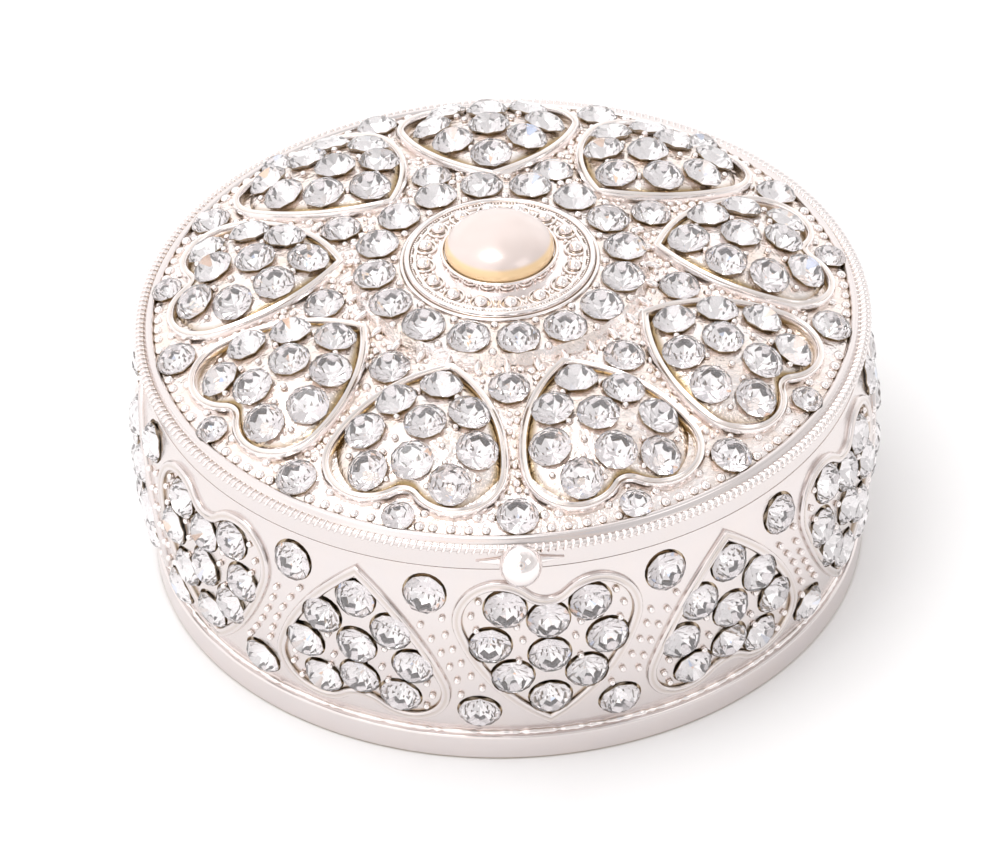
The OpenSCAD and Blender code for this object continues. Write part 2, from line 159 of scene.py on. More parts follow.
class KumkumPearlSizes(bpy.types.PropertyGroup):
    """Sizes of the pearl and its setting."""

    disc_radius: length("Disc radius", "Radius of the raised disc", 7.8 * MM)
    disc_rise: length("Disc rise", "Height of the disc's top above the dome's crown", 0.9 * MM)
    wire: length("Disc wire", "Radius of the wire round the disc", 0.22 * MM)
    ball: length("Ball", "Radius of a ball on the disc", 0.56 * MM)
    ball_ring: length("Ball ring", "Radius of the ring of balls", 6.2 * MM)
    collar: length("Collar", "Height of the collar round the pearl", 0.9 * MM)
    collar_wall: length("Collar wall", "Thickness of the collar", 0.3 * MM)
    radius: length("Pearl radius", "Radius of the half pearl", half_width("pearl"))
    top_z: length("Pearl top", "Height of the pearl's top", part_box("pearl")[1].z)


class KumkumFinishes(bpy.types.PropertyGroup):
    """Colours of the finishes."""

    silver: colour("Silver", "Colour of the silver plating", (0.91, 0.855, 0.84))
    # A darker copy of the silver: painted shade on the plain bands and the side, which reflect the bright
    # floor.
    plain: colour("Plain silver", "Colour of the smooth plating of the plain bands", (0.76, 0.71, 0.7))
    warm: colour("Warm silver", "Colour of the plating's warm patches", (0.87, 0.74, 0.65))
    # Golden brown of the recesses: partly patina, partly painted shade where nearby metal would shade the
    # plating.
    patina_and_shade: colour("Tarnish", "Golden brown of the recesses", (0.33, 0.225, 0.095))
    foil: colour("Foil", "Colour of the foil behind the stones", (0.98, 0.955, 0.96))
    # The cream round the pearl's base is a painted reflection on its lower flank.
    cream: colour("Pearl base", "Colour round the pearl's base", (0.91, 0.65, 0.37))
    nacre: colour("Pearl top", "Colour of the pearl's top", (0.72, 0.6, 0.555))
    steel: colour("Pin steel", "Colour of the hinge pin", (0.62, 0.61, 0.6))
    floor: colour("Floor", "Colour of the floor", (0.96, 0.96, 0.96))


SETTINGS = {
    "kumkum_body": KumkumBodySizes,
    "kumkum_lid": KumkumLidSizes,
    "kumkum_hearts": KumkumHeartSizes,
    "kumkum_stones": KumkumStoneSizes,
    "kumkum_pearl": KumkumPearlSizes,
    "kumkum_finishes": KumkumFinishes,
}

# The pattern, as shares of a heart's length: across from its axis, and from its tip

LID_HEARTS = 9
SIDE_HEARTS = 12
RING_STONES = 16
HEART_MIDDLE_SHARE = 0.53
STONE_DEPTH_SHARE = 0.38
FLANK_STONE_SHARES = (0.387, 0.098)
LID_OUTLINE_SHARES = {
    "lobe": (0.251, 0.729), "lobe_radius": 0.268, "notch": 0.107, "turn": math.radians(12)}
SIDE_OUTLINE_SHARES = {
    "lobe": (0.263, 0.754), "lobe_radius": 0.246, "notch": 0.138, "turn": math.radians(18.4)}
LID_STONE_SHARES = (
    (0, 0.18), (-0.219, 0.349), (0.219, 0.349), (0, 0.487), (-0.333, 0.588),
    (0.333, 0.588), (0, 0.752), (-0.243, 0.841), (0.243, 0.841),
)
SIDE_STONE_SHARES = (
    (0, 0.204), (-0.199, 0.374), (0.199, 0.374), (0, 0.516), (-0.313, 0.594),
    (0.313, 0.594), (0, 0.748), (-0.228, 0.828), (0.228, 0.828),
)
LID_PRONG_SHARES = ((0.175, 0.475), (0.14, 0.62), (0.185, 0.72), (0.12, 0.88), (0.385, 0.75), (0.115, 0.25))
SIDE_PRONG_SHARES = ((0.165, 0.49), (0.14, 0.63), (0.17, 0.72), (0.385, 0.7), (0.41, 0.79), (0.37, 0.88))


# Small details that no setting changes

SEAT_GAP = 0.06 * MM  # room round a stone in its seat
BEAD = 0.3 * MM  # radius of a small bead
BEAD_LIFT = Matrix.Translation((0, 0, 0.14 * MM))  # a bead's middle above the metal
SEAM_DROP = 0.085 * MM  # how far the skirt is drawn below the packed lid's, to close the seam
CREVICE_SHADE_REACH = 0.42 * MM  # how near metal has to be to hold patina and painted shade
SHARP_EDGE = 60  # degrees
LATHE_STEPS = 192
DISC_STEPS = 128
FOOT_STEPS = 480
RIM_STROKES = 312
CORD_BEADS = 176


def sizes(group):
    """One group of the scene's settings, by its short name."""
    return getattr(bpy.context.scene, "kumkum_" + group)


# Modelling helpers


def deselect():
    """Back to object mode with nothing selected, because an operator acts on all that is selected."""
    if bpy.context.object and bpy.context.object.mode != "OBJECT":
        bpy.ops.object.mode_set(mode="OBJECT")
    bpy.ops.object.select_all(action="DESELECT")


def activate(piece):
    """Selects one piece alone and makes it the active one."""
    deselect()
    piece.select_set(True)
    bpy.context.view_layer.objects.active = piece


def edit_all(*steps):
    """Runs edit-mode steps on the whole active piece."""
    bpy.ops.object.mode_set(mode="EDIT")
    bpy.ops.mesh.select_all(action="SELECT")
    for step in steps:
        step()
    bpy.ops.object.mode_set(mode="OBJECT")


def weld():
    """Merges the seams and poles of a bent grid and turns its faces outwards."""
    bpy.ops.mesh.remove_doubles(threshold=0.001 * MM)
    bpy.ops.mesh.normals_make_consistent(inside=False)


def bent_grid(name, columns, rows, place, recess=None):
    """A grid whose point at a column and row goes to place(column, row), with its seams welded.

    A list of recesses, one for each row, says how deep the patina and painted shade lie there.
    """
    deselect()
    bpy.ops.mesh.primitive_grid_add(x_subdivisions=columns, y_subdivisions=rows, size=1)
    piece = bpy.context.object
    piece.name = name
    piece.data.name = name
    stored = piece.data.attributes.new("recess", "FLOAT", "POINT") if recess else None
    for vertex in piece.data.vertices:
        column = round((vertex.co.x + 0.5) * columns)
        row = round((vertex.co.y + 0.5) * rows)
        vertex.co = place(column, row)
        if recess:
            stored.data[vertex.index].value = recess[row % len(recess)]
    edit_all(weld)
    return piece


def turned(name, outline, steps):
    """A solid turned about the Z axis from (radius, height) points.

    The points end on the axis or close on themselves.
    """
    rows = len(outline) - 1 if outline[0][0] == 0 else len(outline)

    def place(column, row):
        radius, height = outline[row % len(outline)]
        angle = FULL_TURN * (column % steps) / steps
        return Vector((radius * math.cos(angle), radius * math.sin(angle), height))
    return bent_grid(name, steps, rows, place)


def arc_points(centre, radius, start, end, count):
    """Points along an arc, both ends included, with angles in radians."""
    return [
        (centre[0] + radius * math.cos(start + (end - start) * k / count),
         centre[1] + radius * math.sin(start + (end - start) * k / count))
        for k in range(count + 1)
    ]


def smooth_ring(name, radius, height, tube, sides, steps):
    """A round wire bent to a ring about the Z axis."""
    ring = turned(name, arc_points((radius, height), tube, 0, FULL_TURN, sides)[:-1], steps)
    smooth(ring)
    return ring


def copies(name, source, places):
    """One piece made of copies of a source piece's mesh, each at its own matrix."""
    deselect()
    parts = []
    for matrix in places:
        part = source.copy()
        part.data = source.data.copy()
        part.data.transform(matrix)
        bpy.context.scene.collection.objects.link(part)
        parts.append(part)
    for part in parts:
        part.select_set(True)
    bpy.context.view_layer.objects.active = parts[0]
    bpy.ops.object.join()
    piece = bpy.context.object
    piece.name = name
    piece.data.name = name
    return piece


def drop(piece):
    """Removes a source piece once its copies are made."""
    bpy.data.objects.remove(piece, do_unlink=True)


def smooth(piece, degrees=180):
    """Smooth shading, with edges sharper than the angle kept sharp."""
    activate(piece)
    bpy.ops.object.shade_smooth_by_angle(angle=math.radians(degrees))


def finished(piece, body, nodes, slot, *materials):
    """Gives a piece its materials and its body, and hides the packed nodes that it stands for. The slot is
    not used.
    """
    if materials:
        piece.data.materials.clear()
    for material in materials:
        piece.data.materials.append(material)
    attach(piece, body)
    if nodes:
        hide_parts(*nodes)
    return piece


def plated(piece, body, material=None):
    """Finishes a silver piece that rides on a casting, burnished unless it has another plating."""
    return finished(piece, body, [], "silver_plate", material or burnished_silver())


def studded(name, body, source, places):
    """Copies of a source piece as one burnished piece. The source piece goes."""
    plated(copies(name, source, places), body)
    drop(source)


def turned_copies(name, body, source, numbers, count, material):
    """Copies of a piece, turned about the box's axis to every heart in numbers. The source piece goes."""
    for k in numbers:
        turn = Matrix.Rotation(FULL_TURN * (k - numbers[0]) / count, 4, "Z")
        plated(copies("%s_%d" % (name, k), source, [turn]), body, material)
    drop(source)


def set_recess(piece, mask):
    """Stores how deep in a recess each point lies, from 0 to 1, for the patina and painted shade."""
    attribute = piece.data.attributes.new("recess", "FLOAT", "POINT")
    for vertex in piece.data.vertices:
        attribute.data[vertex.index].value = mask(vertex.co)


# Hearts: outlines and places on the lid and on the side


class Heart:
    """A heart's outline, tip at the origin and lobes towards +Y, in metres."""

    def __init__(self, shares, size):
        self.size = size
        self.lobe = Vector(shares["lobe"]) * size
        self.lobe_radius = shares["lobe_radius"] * size
        self.notch = shares["notch"] * size
        self.turn = shares["turn"]
        direction = Vector((math.cos(self.turn), -math.sin(self.turn)))
        touch = self.lobe + self.lobe_radius * direction
        self.flank_radius = touch.dot(touch) / (2 * direction.dot(touch))
        self.flank = touch - self.flank_radius * direction

    def outline(self, grow):
        """Closed outline, grown outwards, as points that start at the tip."""
        flank, flank_radius = self.flank, self.flank_radius
        tip_y = flank.y - math.sqrt((flank_radius + grow) ** 2 - flank.x ** 2)
        notch_y = self.lobe.y + math.sqrt((self.lobe_radius + self.notch) ** 2 - self.lobe.x ** 2)
        meet = math.atan2(notch_y - self.lobe.y, -self.lobe.x)
        start = math.atan2(tip_y - flank.y, -flank.x)
        half = arc_points(flank, flank_radius + grow, start, -self.turn, 18)
        half += arc_points(self.lobe, self.lobe_radius + grow, -self.turn, meet, 22)[1:]
        half += arc_points((0, notch_y), self.notch - grow, meet - math.pi, -math.pi / 2, 6)[1:]
        return half + [(-x, y) for x, y in half[-2:0:-1]]

    def holds(self, x, y, grow):
        """Whether a place lies inside the outline grown by a distance."""
        x = abs(x)
        in_lobe = math.hypot(x - self.lobe.x, y - self.lobe.y) < self.lobe_radius + grow
        from_flank = math.hypot(x - self.flank.x, y - self.flank.y)
        in_flank = from_flank < self.flank_radius + grow and -grow < y < self.lobe.y
        in_notch = y < self.size * 0.88 + grow and x < self.lobe.x and y > 0
        return in_lobe or in_flank or (in_notch and y > self.lobe.y)


def lid_heart():
    """A heart of the lid."""
    return Heart(LID_OUTLINE_SHARES, sizes("hearts").lid_length)


def side_heart():
    """A heart of the side."""
    return Heart(SIDE_OUTLINE_SHARES, sizes("hearts").side_length)


def dome_radius():
    """Radius of the ball that the dome is a part of."""
    lid = sizes("lid")
    return (lid.dome_edge ** 2 + lid.dome_rise ** 2) / (2 * lid.dome_rise)


def dome_centre():
    """Height of that ball's middle."""
    lid = sizes("lid")
    return lid.shoulder_z + lid.dome_rise - dome_radius()


def dome_z(radius, lift=0.0):
    """Height of the dome, or of a surface parallel to it, at a distance from the axis."""
    return dome_centre() + math.sqrt((dome_radius() + lift) ** 2 - radius ** 2)


def on_ball(centre, radius, x, y):
    """Matrix at the point of a ball above (x, y), upright to it."""
    normal = Vector((x - centre.x, y - centre.y, 0))
    normal.z = math.sqrt(radius ** 2 - normal.x ** 2 - normal.y ** 2)
    rotation = normal.to_track_quat("Z", "Y").to_matrix().to_4x4()
    return Matrix.Translation(centre + normal) @ rotation


class LidHeartPlace:
    """Where heart k of the lid lies."""

    def __init__(self, k):
        self.hearts = sizes("hearts")
        self.size = self.hearts.lid_length
        self.middle = HEART_MIDDLE_SHARE * self.size
        turn = math.pi + (k - 0.5) * FULL_TURN / LID_HEARTS
        tilt = math.asin(self.hearts.lid_radius / dome_radius())
        self.matrix = (
            Matrix.Rotation(turn, 4, "Z") @ Matrix.Translation((0, 0, dome_centre()))
            @ Matrix.Rotation(-tilt, 4, "X") @ Matrix.Translation((0, -self.middle, dome_radius()))
        )
        self.ball = Vector((0, self.middle, self.hearts.bed_rise - self.hearts.bed_curve))

    def dome(self, x, y):
        """Height of the dome at a place, in the heart's own frame."""
        return math.sqrt(dome_radius() ** 2 - x ** 2 - (y - self.middle) ** 2) - dome_radius()

    def bed(self, x, y):
        """Height of the bed above the dome."""
        curve = self.hearts.bed_curve
        top = self.ball.z + math.sqrt(curve ** 2 - x ** 2 - (y - self.middle) ** 2)
        return top - self.dome(x, y)

    def point(self, x, y, height):
        """Point at a height above the dome."""
        return self.matrix @ Vector((x, y, self.dome(x, y) + height))

    def upright(self, x, y):
        """Matrix on the bed, upright to it."""
        return self.matrix @ on_ball(self.ball, self.hearts.bed_curve, x, y)


class SideHeartPlace:
    """Where heart k of the side lies. Odd hearts point down and even ones up."""

    def __init__(self, k):
        self.body = sizes("body")
        hearts = sizes("hearts")
        self.size = hearts.side_length
        self.middle = HEART_MIDDLE_SHARE * self.size
        self.middle_z = hearts.side_z
        self.way = 1 if k % 2 == 1 else -1
        self.turn = -math.pi / 2 + hearts.side_turn + (k - 1) * FULL_TURN / SIDE_HEARTS

    def upright(self, x, y):
        """Matrix on the belly, upright to it."""
        z = self.middle_z + self.way * (y - self.size / 2)
        return on_belly(z, self.turn + self.way * x / self.body.radius)

    def point(self, x, y, height):
        """Point at a height above the belly."""
        return self.upright(x, y) @ Vector((0, 0, height))


def on_belly(z, turn):
    """Matrix on the belly at a height and a turn: local Z points outwards and local Y up."""
    body = sizes("body")
    tilt = math.asin((z - body.belly_z) / body.belly_curve)
    return (
        Matrix.Rotation(turn, 4, "Z")
        @ Matrix.Translation((body.radius - body.belly_curve, 0, body.belly_z))
        @ Matrix.Rotation(math.pi / 2 - tilt, 4, "Y") @ Matrix.Translation((0, 0, body.belly_curve))
        @ Matrix.Rotation(math.pi / 2, 4, "Z")
    )


def on_dome(radius, turn, lift=0.0):
    """Matrix on the dome, or on a surface parallel to it, upright to it."""
    centre = Vector((0, 0, dome_centre()))
    return on_ball(centre, dome_radius() + lift, radius * math.cos(turn), radius * math.sin(turn))


# Where the stones are


def at_shares(place, shares):
    """Matrices in a heart at shares of its length."""
    return [place.upright(x * place.size, y * place.size) for x, y in shares]


def lid_heart_stones(k):
    """Matrices of the stones in heart k of the lid."""
    return at_shares(LidHeartPlace(k), LID_STONE_SHARES)


def side_heart_stones(k):
    """Matrices of the stones in heart k of the side."""
    return at_shares(SideHeartPlace(k), SIDE_STONE_SHARES)


def side_point_stones():
    """Matrices of the stones beside the points of the side's hearts."""
    x, y = FLANK_STONE_SHARES
    places = [SideHeartPlace(k) for k in range(1, SIDE_HEARTS + 1)]
    return [p.upright(way * x * p.size, y * p.size) for p in places for way in (-1, 1)]


def ring_turn():
    """Turn of the first stone round the pearl."""
    return -math.pi / 2 + math.pi / RING_STONES / 2


def lid_ring_stones():
    """Matrices of the stones round the pearl."""
    stones = sizes("stones")
    step = FULL_TURN / RING_STONES
    return [on_dome(stones.ring_radius, ring_turn() + k * step, stones.ring_rise)
            for k in range(RING_STONES)]


def lid_circle(radius, offset):
    """Matrices of one place between each two hearts (offset 0) or on each heart (offset 0.5)."""
    step = FULL_TURN / LID_HEARTS
    return [on_dome(radius, -math.pi / 2 + (k + offset) * step) for k in range(LID_HEARTS)]


# Materials


def add_node(tree, kind, inputs, **options):
    """A node with its options set, and each input given a value or linked to a socket."""
    node = tree.nodes.new("ShaderNode" + kind)
    for option, value in options.items():
        setattr(node, option, value)
    for name, value in inputs.items():
        if isinstance(value, bpy.types.NodeSocket):
            tree.links.new(value, node.inputs[name])
        else:
            node.inputs[name].default_value = value
    return node


def noise(tree, scale, detail=2, source="Object"):
    """Noise that lies still on the piece."""
    place = add_node(tree, "TexCoord", {}).outputs[source]
    return add_node(tree, "TexNoise", {"Vector": place, "Scale": scale, "Detail": detail}).outputs["Fac"]


def ranged(tree, source, limits, kind="LINEAR"):
    """A value taken from one range to another, or to the range from 0 to 1."""
    named = dict(zip(("From Min", "From Max", "To Min", "To Max"), limits))
    return add_node(tree, "MapRange", {"Value": source, **named}, interpolation_type=kind).outputs["Result"]


def joined(tree, operation, first, second):
    """One value made of two."""
    return add_node(tree, "Math", {0: first, 1: second}, operation=operation).outputs["Value"]


def blend(tree, factor, first, second):
    """A colour between two colours."""
    mix = add_node(tree, "Mix", {"Factor": factor, "A": first, "B": second}, data_type="RGBA")
    return mix.outputs["Result"]


def principled(tree, colour, inputs):
    """A Principled shader."""
    return add_node(tree, "BsdfPrincipled", {"Base Color": colour, **inputs}).outputs["BSDF"]


def make_material(name, build):
    """A material, made once. Its build function adds the nodes and gives the shader."""
    material = bpy.data.materials.get(name)
    if not material:
        material = bpy.data.materials.new(name)
        material.use_nodes = True
        tree = material.node_tree
        tree.nodes.clear()
        add_node(tree, "OutputMaterial", {"Surface": build(tree, sizes("finishes"))})
    return material


def plating_group():
    """Node group: silver plating with warm patches, a cast grain, and golden brown in the recesses, partly
    patina and partly painted shade.
    """
    group = bpy.data.node_groups.get("Plating")
    if group:
        return group
    group = bpy.data.node_groups.new("Plating", "ShaderNodeTree")
    for way, kind, names in (
        ("INPUT", "Color", ("Silver", "Warm", "Tarnish")),
        ("INPUT", "Float", ("Warm reach", "Tarnish reach", "Grain scale", "Smoothest", "Roughest")),
        ("OUTPUT", "Color", ("Colour",)),
        ("OUTPUT", "Float", ("Roughness", "Height")),
    ):
        for name in names:
            group.interface.new_socket(name=name, in_out=way, socket_type="NodeSocket" + kind)
    given = group.nodes.new("NodeGroupInput").outputs
    grain = noise(group, given["Grain scale"], 3)
    patches = ranged(group, noise(group, 420, 3), (0.38, 0.68))
    warmth = joined(group, "MULTIPLY", patches, given["Warm reach"])
    warm = blend(group, warmth, given["Silver"], given["Warm"])
    # Painted shade: ambient occlusion of nearby metal, and the stored recess depth, mix the golden brown into
    # crevices, under stones and round beads, over some real patina.
    crevice = add_node(group, "AmbientOcclusion", {"Distance": CREVICE_SHADE_REACH}, samples=6)
    depth = ranged(group, crevice.outputs["AO"], (0.66, 0.16), "SMOOTHSTEP")
    stored = add_node(group, "Attribute", {}, attribute_name="recess")
    deepest = joined(group, "MAXIMUM", depth, stored.outputs["Fac"])
    reached = joined(group, "MULTIPLY", deepest, given["Tarnish reach"])
    polish = ranged(group, grain, (0, 1, given["Smoothest"], given["Roughest"]))
    made = group.nodes.new("NodeGroupOutput").inputs
    group.links.new(blend(group, reached, warm, given["Tarnish"]), made["Colour"])
    group.links.new(polish, made["Roughness"])
    group.links.new(grain, made["Height"])
    return group


def silver_material(name, tone, grain_scale, bump, warmth, patina_and_shade, rough):
    """Silver plating: tone, scale and height of the grain, warm patches, reach of the patina and painted
    shade, and roughness range.
    """
    def build(tree, finishes):
        plating = add_node(tree, "Group", {
            "Silver": (*getattr(finishes, tone), 1), "Warm": (*finishes.warm, 1),
            "Tarnish": (*finishes.patina_and_shade, 1), "Warm reach": warmth, "Tarnish reach": patina_and_shade,
            "Grain scale": grain_scale, "Smoothest": rough[0], "Roughest": rough[1],
        }, node_tree=plating_group()).outputs
        relief = add_node(tree, "Bump", {"Strength": 1, "Distance": bump, "Height": plating["Height"]})
        return principled(tree, plating["Colour"], {
            "Metallic": 1, "Roughness": plating["Roughness"], "Normal": relief.outputs["Normal"]})
    return make_material(name, build)


def polished_silver():
    """Smooth plating of the lid's frames and the hinge leaves."""
    return silver_material("Polished silver", "silver", 700, 0.012 * MM, 0.15, 0.95, (0.14, 0.26))


def shaded_plain_silver():
    """Smooth plating of the plain bands and the side, darker than the rest: painted shade that tones down the
    bright floor they reflect.
    """
    return silver_material("Plain silver", "plain", 700, 0.012 * MM, 0.1, 0.95, (0.14, 0.26))


def burnished_silver():
    """Bright plating of the raised beads, which every touch burnishes."""
    return silver_material("Burnished silver", "silver", 900, 0.006 * MM, 0.0, 0.6, (0.05, 0.14))


def cast_silver():
    """Rough plating of the ground between the stones."""
    return silver_material("Cast silver", "silver", 1300, 0.23 * MM, 0.8, 0.95, (0.16, 0.32))


def crystal_material():
    """Clear glass of the stones."""
    def build(tree, finishes):
        streaks = ranged(tree, noise(tree, 400), (0, 1, 0, 0.004))
        return principled(tree, (1, 1, 1, 1), {
            "Transmission Weight": 1, "IOR": 1.56, "Roughness": streaks})
    return make_material("Crystal", build)


def foil_material():
    """Bright foil on the stones' backs, a little milky."""
    def build(tree, finishes):
        shade = blend(tree, noise(tree, 700), (*finishes.foil, 1), (0.88, 0.85, 0.86, 1))
        return principled(tree, shade, {"Metallic": 0.77, "Roughness": 0.0})
    return make_material("Foil", build)


def setting_shade_line_material():
    """A thin dark golden-brown line on a stone's girdle: painted shade where the stone meets its seat, with
    some patina.
    """
    def build(tree, finishes):
        tone = blend(tree, noise(tree, 500), (0.22, 0.16, 0.09, 1), (0.42, 0.33, 0.22, 1))
        return principled(tree, tone, {"Metallic": 0.6, "Roughness": 0.45})
    return make_material("Setting line", build)


def pearl_material():
    """Nacre, pinkish above, under a soft clear coat, with a clear cream band round the base: a painted
    reflection on the pearl's lower flank.
    """
    pearl = sizes("pearl")
    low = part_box("pearl")[0].z + pearl.collar
    band = [low + share * (pearl.top_z - low) for share in (0.27, 0.42)]

    def build(tree, finishes):
        place = add_node(tree, "TexCoord", {}).outputs["Object"]
        height = add_node(tree, "SeparateXYZ", {"Vector": place}).outputs["Z"]
        tone = blend(tree, noise(tree, 260), (*finishes.nacre, 1), (0.77, 0.68, 0.65, 1))
        # Painted reflection: cream below and nacre above, by height.
        above = ranged(tree, height, band, "SMOOTHSTEP")
        return principled(tree, blend(tree, above, (*finishes.cream, 1), tone), {
            "Metallic": 0.35, "Roughness": 0.26, "Coat Weight": 0.7, "Coat Roughness": 0.08})
    return make_material("Pearl", build)


def steel_material():
    """Drawn steel of the hinge pin."""
    def build(tree, finishes):
        place = add_node(tree, "TexCoord", {}).outputs["Object"]
        stretch = add_node(tree, "Mapping", {"Vector": place, "Scale": (60, 4000, 4000)}).outputs["Vector"]
        drawn = add_node(tree, "TexNoise", {"Vector": stretch, "Scale": 1}).outputs["Fac"]
        tone = blend(tree, drawn, (*finishes.steel, 1), (0.4, 0.39, 0.38, 1))
        return principled(tree, tone, {"Metallic": 1, "Roughness": 0.35})
    return make_material("Pin steel", build)


# Source pieces that are copied


def bead_source(radius, rounds=8, rings=5, squat=1.0):
    """A small bead, its middle at the origin."""
    deselect()
    bpy.ops.mesh.primitive_uv_sphere_add(segments=rounds, ring_count=rings, radius=radius)
    bead = bpy.context.object
    bead.data.transform(Matrix.Diagonal((1, 1, squat, 1)))
    bpy.ops.object.shade_smooth()
    return bead


def stone_source():
    """A cut stone of unit diameter: table, kites, girdle facets, a dark line of painted shade round the
    girdle, and facets below.
    """
    table, star, girdle = 0.3, 0.4, 0.5
    table_z, depth, line = 0.165, STONE_DEPTH_SHARE, 0.024
    half = math.radians(22.5)
    slope = table_z / (girdle - table)
    star_z = table_z - slope * (star * math.cos(half) - table)
    odd_z = -depth + depth * math.cos(half)
    rings = (
        (8, table, table_z, 0), (8, star, star_z, half), (8, girdle, 0, 0), (8, girdle, odd_z, half),
        (8, girdle, -line, 0), (8, girdle, odd_z - line, half), (3, 0, -depth, 0),
    )
    deselect()
    parts = []
    for count, radius, z, turn in rings:
        bpy.ops.mesh.primitive_circle_add(
            vertices=count, radius=max(radius, 0.001), location=(0, 0, z), rotation=(0, 0, turn))
        parts.append(bpy.context.object)
    for part in parts:
        part.select_set(True)
    bpy.ops.object.join()
    stone = bpy.context.object
    bpy.ops.object.transform_apply(location=True, rotation=True, scale=True)
    edit_all(
        lambda: bpy.ops.mesh.remove_doubles(threshold=0.003),
        bpy.ops.mesh.convex_hull,
        lambda: bpy.ops.mesh.dissolve_limited(angle_limit=math.radians(2)),
        lambda: bpy.ops.mesh.normals_make_consistent(inside=False),
    )
    for material in (crystal_material(), foil_material(), setting_shade_line_material()):
        stone.data.materials.append(material)
    for face in stone.data.polygons:
        # Girdle faces get the setting line, which paints the shade round the stone's edge.
        face.material_index = 2 if abs(face.normal.z) < 0.2 else 1 if face.normal.z < 0 else 0
        face.use_smooth = False
    return stone


def seat_drill(size, lift, pit_room=0.0, pit_depth=0.0, pit_shift=0.0):
    """A drill for a stone's seat, stepped to a shallow pit at its mouth that may lie a little higher."""
    depth = STONE_DEPTH_SHARE * size
    seat = size / 2 * (1 - lift / depth) + SEAT_GAP
    mouth = size / 2 + pit_room if pit_depth else seat
    foot, top = lift - depth - SEAT_GAP, 1.2 * MM
    outline = [(0, foot), (seat, foot)]
    if pit_depth:
        outline += [(seat, -pit_depth), (mouth, -pit_depth)]
    drill = turned("seat_drill", outline + [(mouth, top), (0, top)], 24)
    for vertex in drill.data.vertices:
        if math.hypot(vertex.co.x, vertex.co.y) > (seat + mouth) / 2:
            vertex.co.y += pit_shift
    return drill


def cut(piece, drill, places):
    """Cuts a drill's shape out of a piece at each place."""
    drills = copies("drills", drill, places)
    drop(drill)
    activate(piece)
    bpy.ops.object.modifier_add(type="BOOLEAN")
    bore = piece.modifiers[-1]
    bore.operation = "DIFFERENCE"
    bore.solver = "MANIFOLD"
    bore.object = drills
    bpy.ops.object.modifier_apply(modifier=bore.name)
    drop(drills)
    return piece


def set_places(places, size, lift, seed):
    """Stones' matrices: lifted, scaled, turned at random and tilted a little, as set by hand."""
    stones = sizes("stones")
    chance = random.Random(seed)
    made = []
    for place in places:
        tilt = Matrix.Rotation(chance.uniform(0, 1) * stones.tilt, 4, Vector((
            math.cos(chance.uniform(0, FULL_TURN)), math.sin(chance.uniform(0, FULL_TURN)), 0)).normalized())
        turn = Matrix.Rotation(chance.uniform(0, FULL_TURN), 4, "Z")
        made.append(place @ Matrix.Translation((0, 0, lift)) @ tilt @ turn @ Matrix.Scale(size, 4))
    return made


class KumkumOperator:
    """What the operators share."""

    bl_options = {"REGISTER", "UNDO"}


class KUMKUM_OT_body_shell(KumkumOperator, bpy.types.Operator):
    """Turn the cup: foot band, belly, collar, rim, locating lip and bore."""

    bl_idname = "kumkum.body_shell"
    bl_label = "Cup"

    def execute(self, context):
        body, stones = sizes("body"), sizes("stones")
        soft = 0.25 * MM
        edge = 0.02 * MM
        belly_x = body.radius - body.belly_curve
        collar_z = body.rim_z - body.collar_height

        def belly_angle(z):
            return math.asin((z - body.belly_z) / body.belly_curve)

        outline = [(0, 0)]
        outline += arc_points((body.foot_radius - soft, soft), soft, -math.pi / 2, 0, 4)
        outline += arc_points((body.foot_radius - soft, body.foot_height - soft), soft, 0, math.pi / 2, 4)
        outline += arc_points(
            (belly_x, body.belly_z), body.belly_curve,
            belly_angle(body.foot_height), belly_angle(collar_z), 28)
        outline += arc_points((body.collar_radius - edge, body.rim_z - edge), edge, 0, math.pi / 2, 3)
        outline += [(body.lip_radius, body.rim_z)]
        outline += arc_points(
            (body.lip_radius - soft, body.rim_z + body.lip_height - soft), soft, 0, math.pi / 2, 3)
        outline += arc_points(
            (body.bore_radius + soft, body.rim_z + body.lip_height - soft), soft, math.pi / 2, math.pi, 3)
        fillet = 4 * soft
        outline += arc_points(
            (body.bore_radius - fillet, body.floor + fillet), fillet, 0, -math.pi / 2, 6)
        outline += [(0, body.floor)]
        cup = turned("cup", outline, LATHE_STEPS)
        seats = [place for k in range(1, SIDE_HEARTS + 1) for place in side_heart_stones(k)]
        pit_shift = 0.1 * MM
        drill = seat_drill(
            stones.diameter, stones.side_lift, stones.pit_room, stones.pit_depth, pit_shift)
        cut(cup, drill, seats + side_point_stones())

        skin, full_depth, deepest_pit, most_patina_and_shade = 0.05 * MM, 0.3 * MM, 2 * MM, 0.75

        # Painted shade: the pits round the side's stones darken golden brown with their depth, for the shade
        # inside them, with some patina.
        def pit_depth(co):
            wall = belly_x + math.sqrt(body.belly_curve ** 2 - (co.z - body.belly_z) ** 2)
            deep = wall - math.hypot(co.x, co.y)
            in_wall = skin < deep < deepest_pit and body.foot_height < co.z < collar_z
            return min(most_patina_and_shade, deep / full_depth) if in_wall else 0.0

        set_recess(cup, pit_depth)
        smooth(cup, 35)
        finished(cup, "body", ["body_casting"], "silver_plate", shaded_plain_silver())
        chance = random.Random(stones.seed)
        rise = [chance.uniform(0.75, 1.0) if chance.random() < 0.9 else 0.4 for k in range(FOOT_STEPS)]
        line_size, line_inset, sides = 0.34 * MM, 0.62 * MM, 6

        def along_foot(column, row):
            turn = FULL_TURN * (column % FOOT_STEPS) / FOOT_STEPS
            size = line_size * rise[column % FOOT_STEPS]
            radius = body.foot_radius - line_inset + size * math.cos(FULL_TURN * row / sides)
            height = body.foot_height + edge + size * math.sin(FULL_TURN * row / sides)
            return Vector((radius * math.cos(turn), radius * math.sin(turn), height))

        line = bent_grid("foot_line", FOOT_STEPS, sides, along_foot)
        smooth(line)
        plated(line, "body")
        return {"FINISHED"}


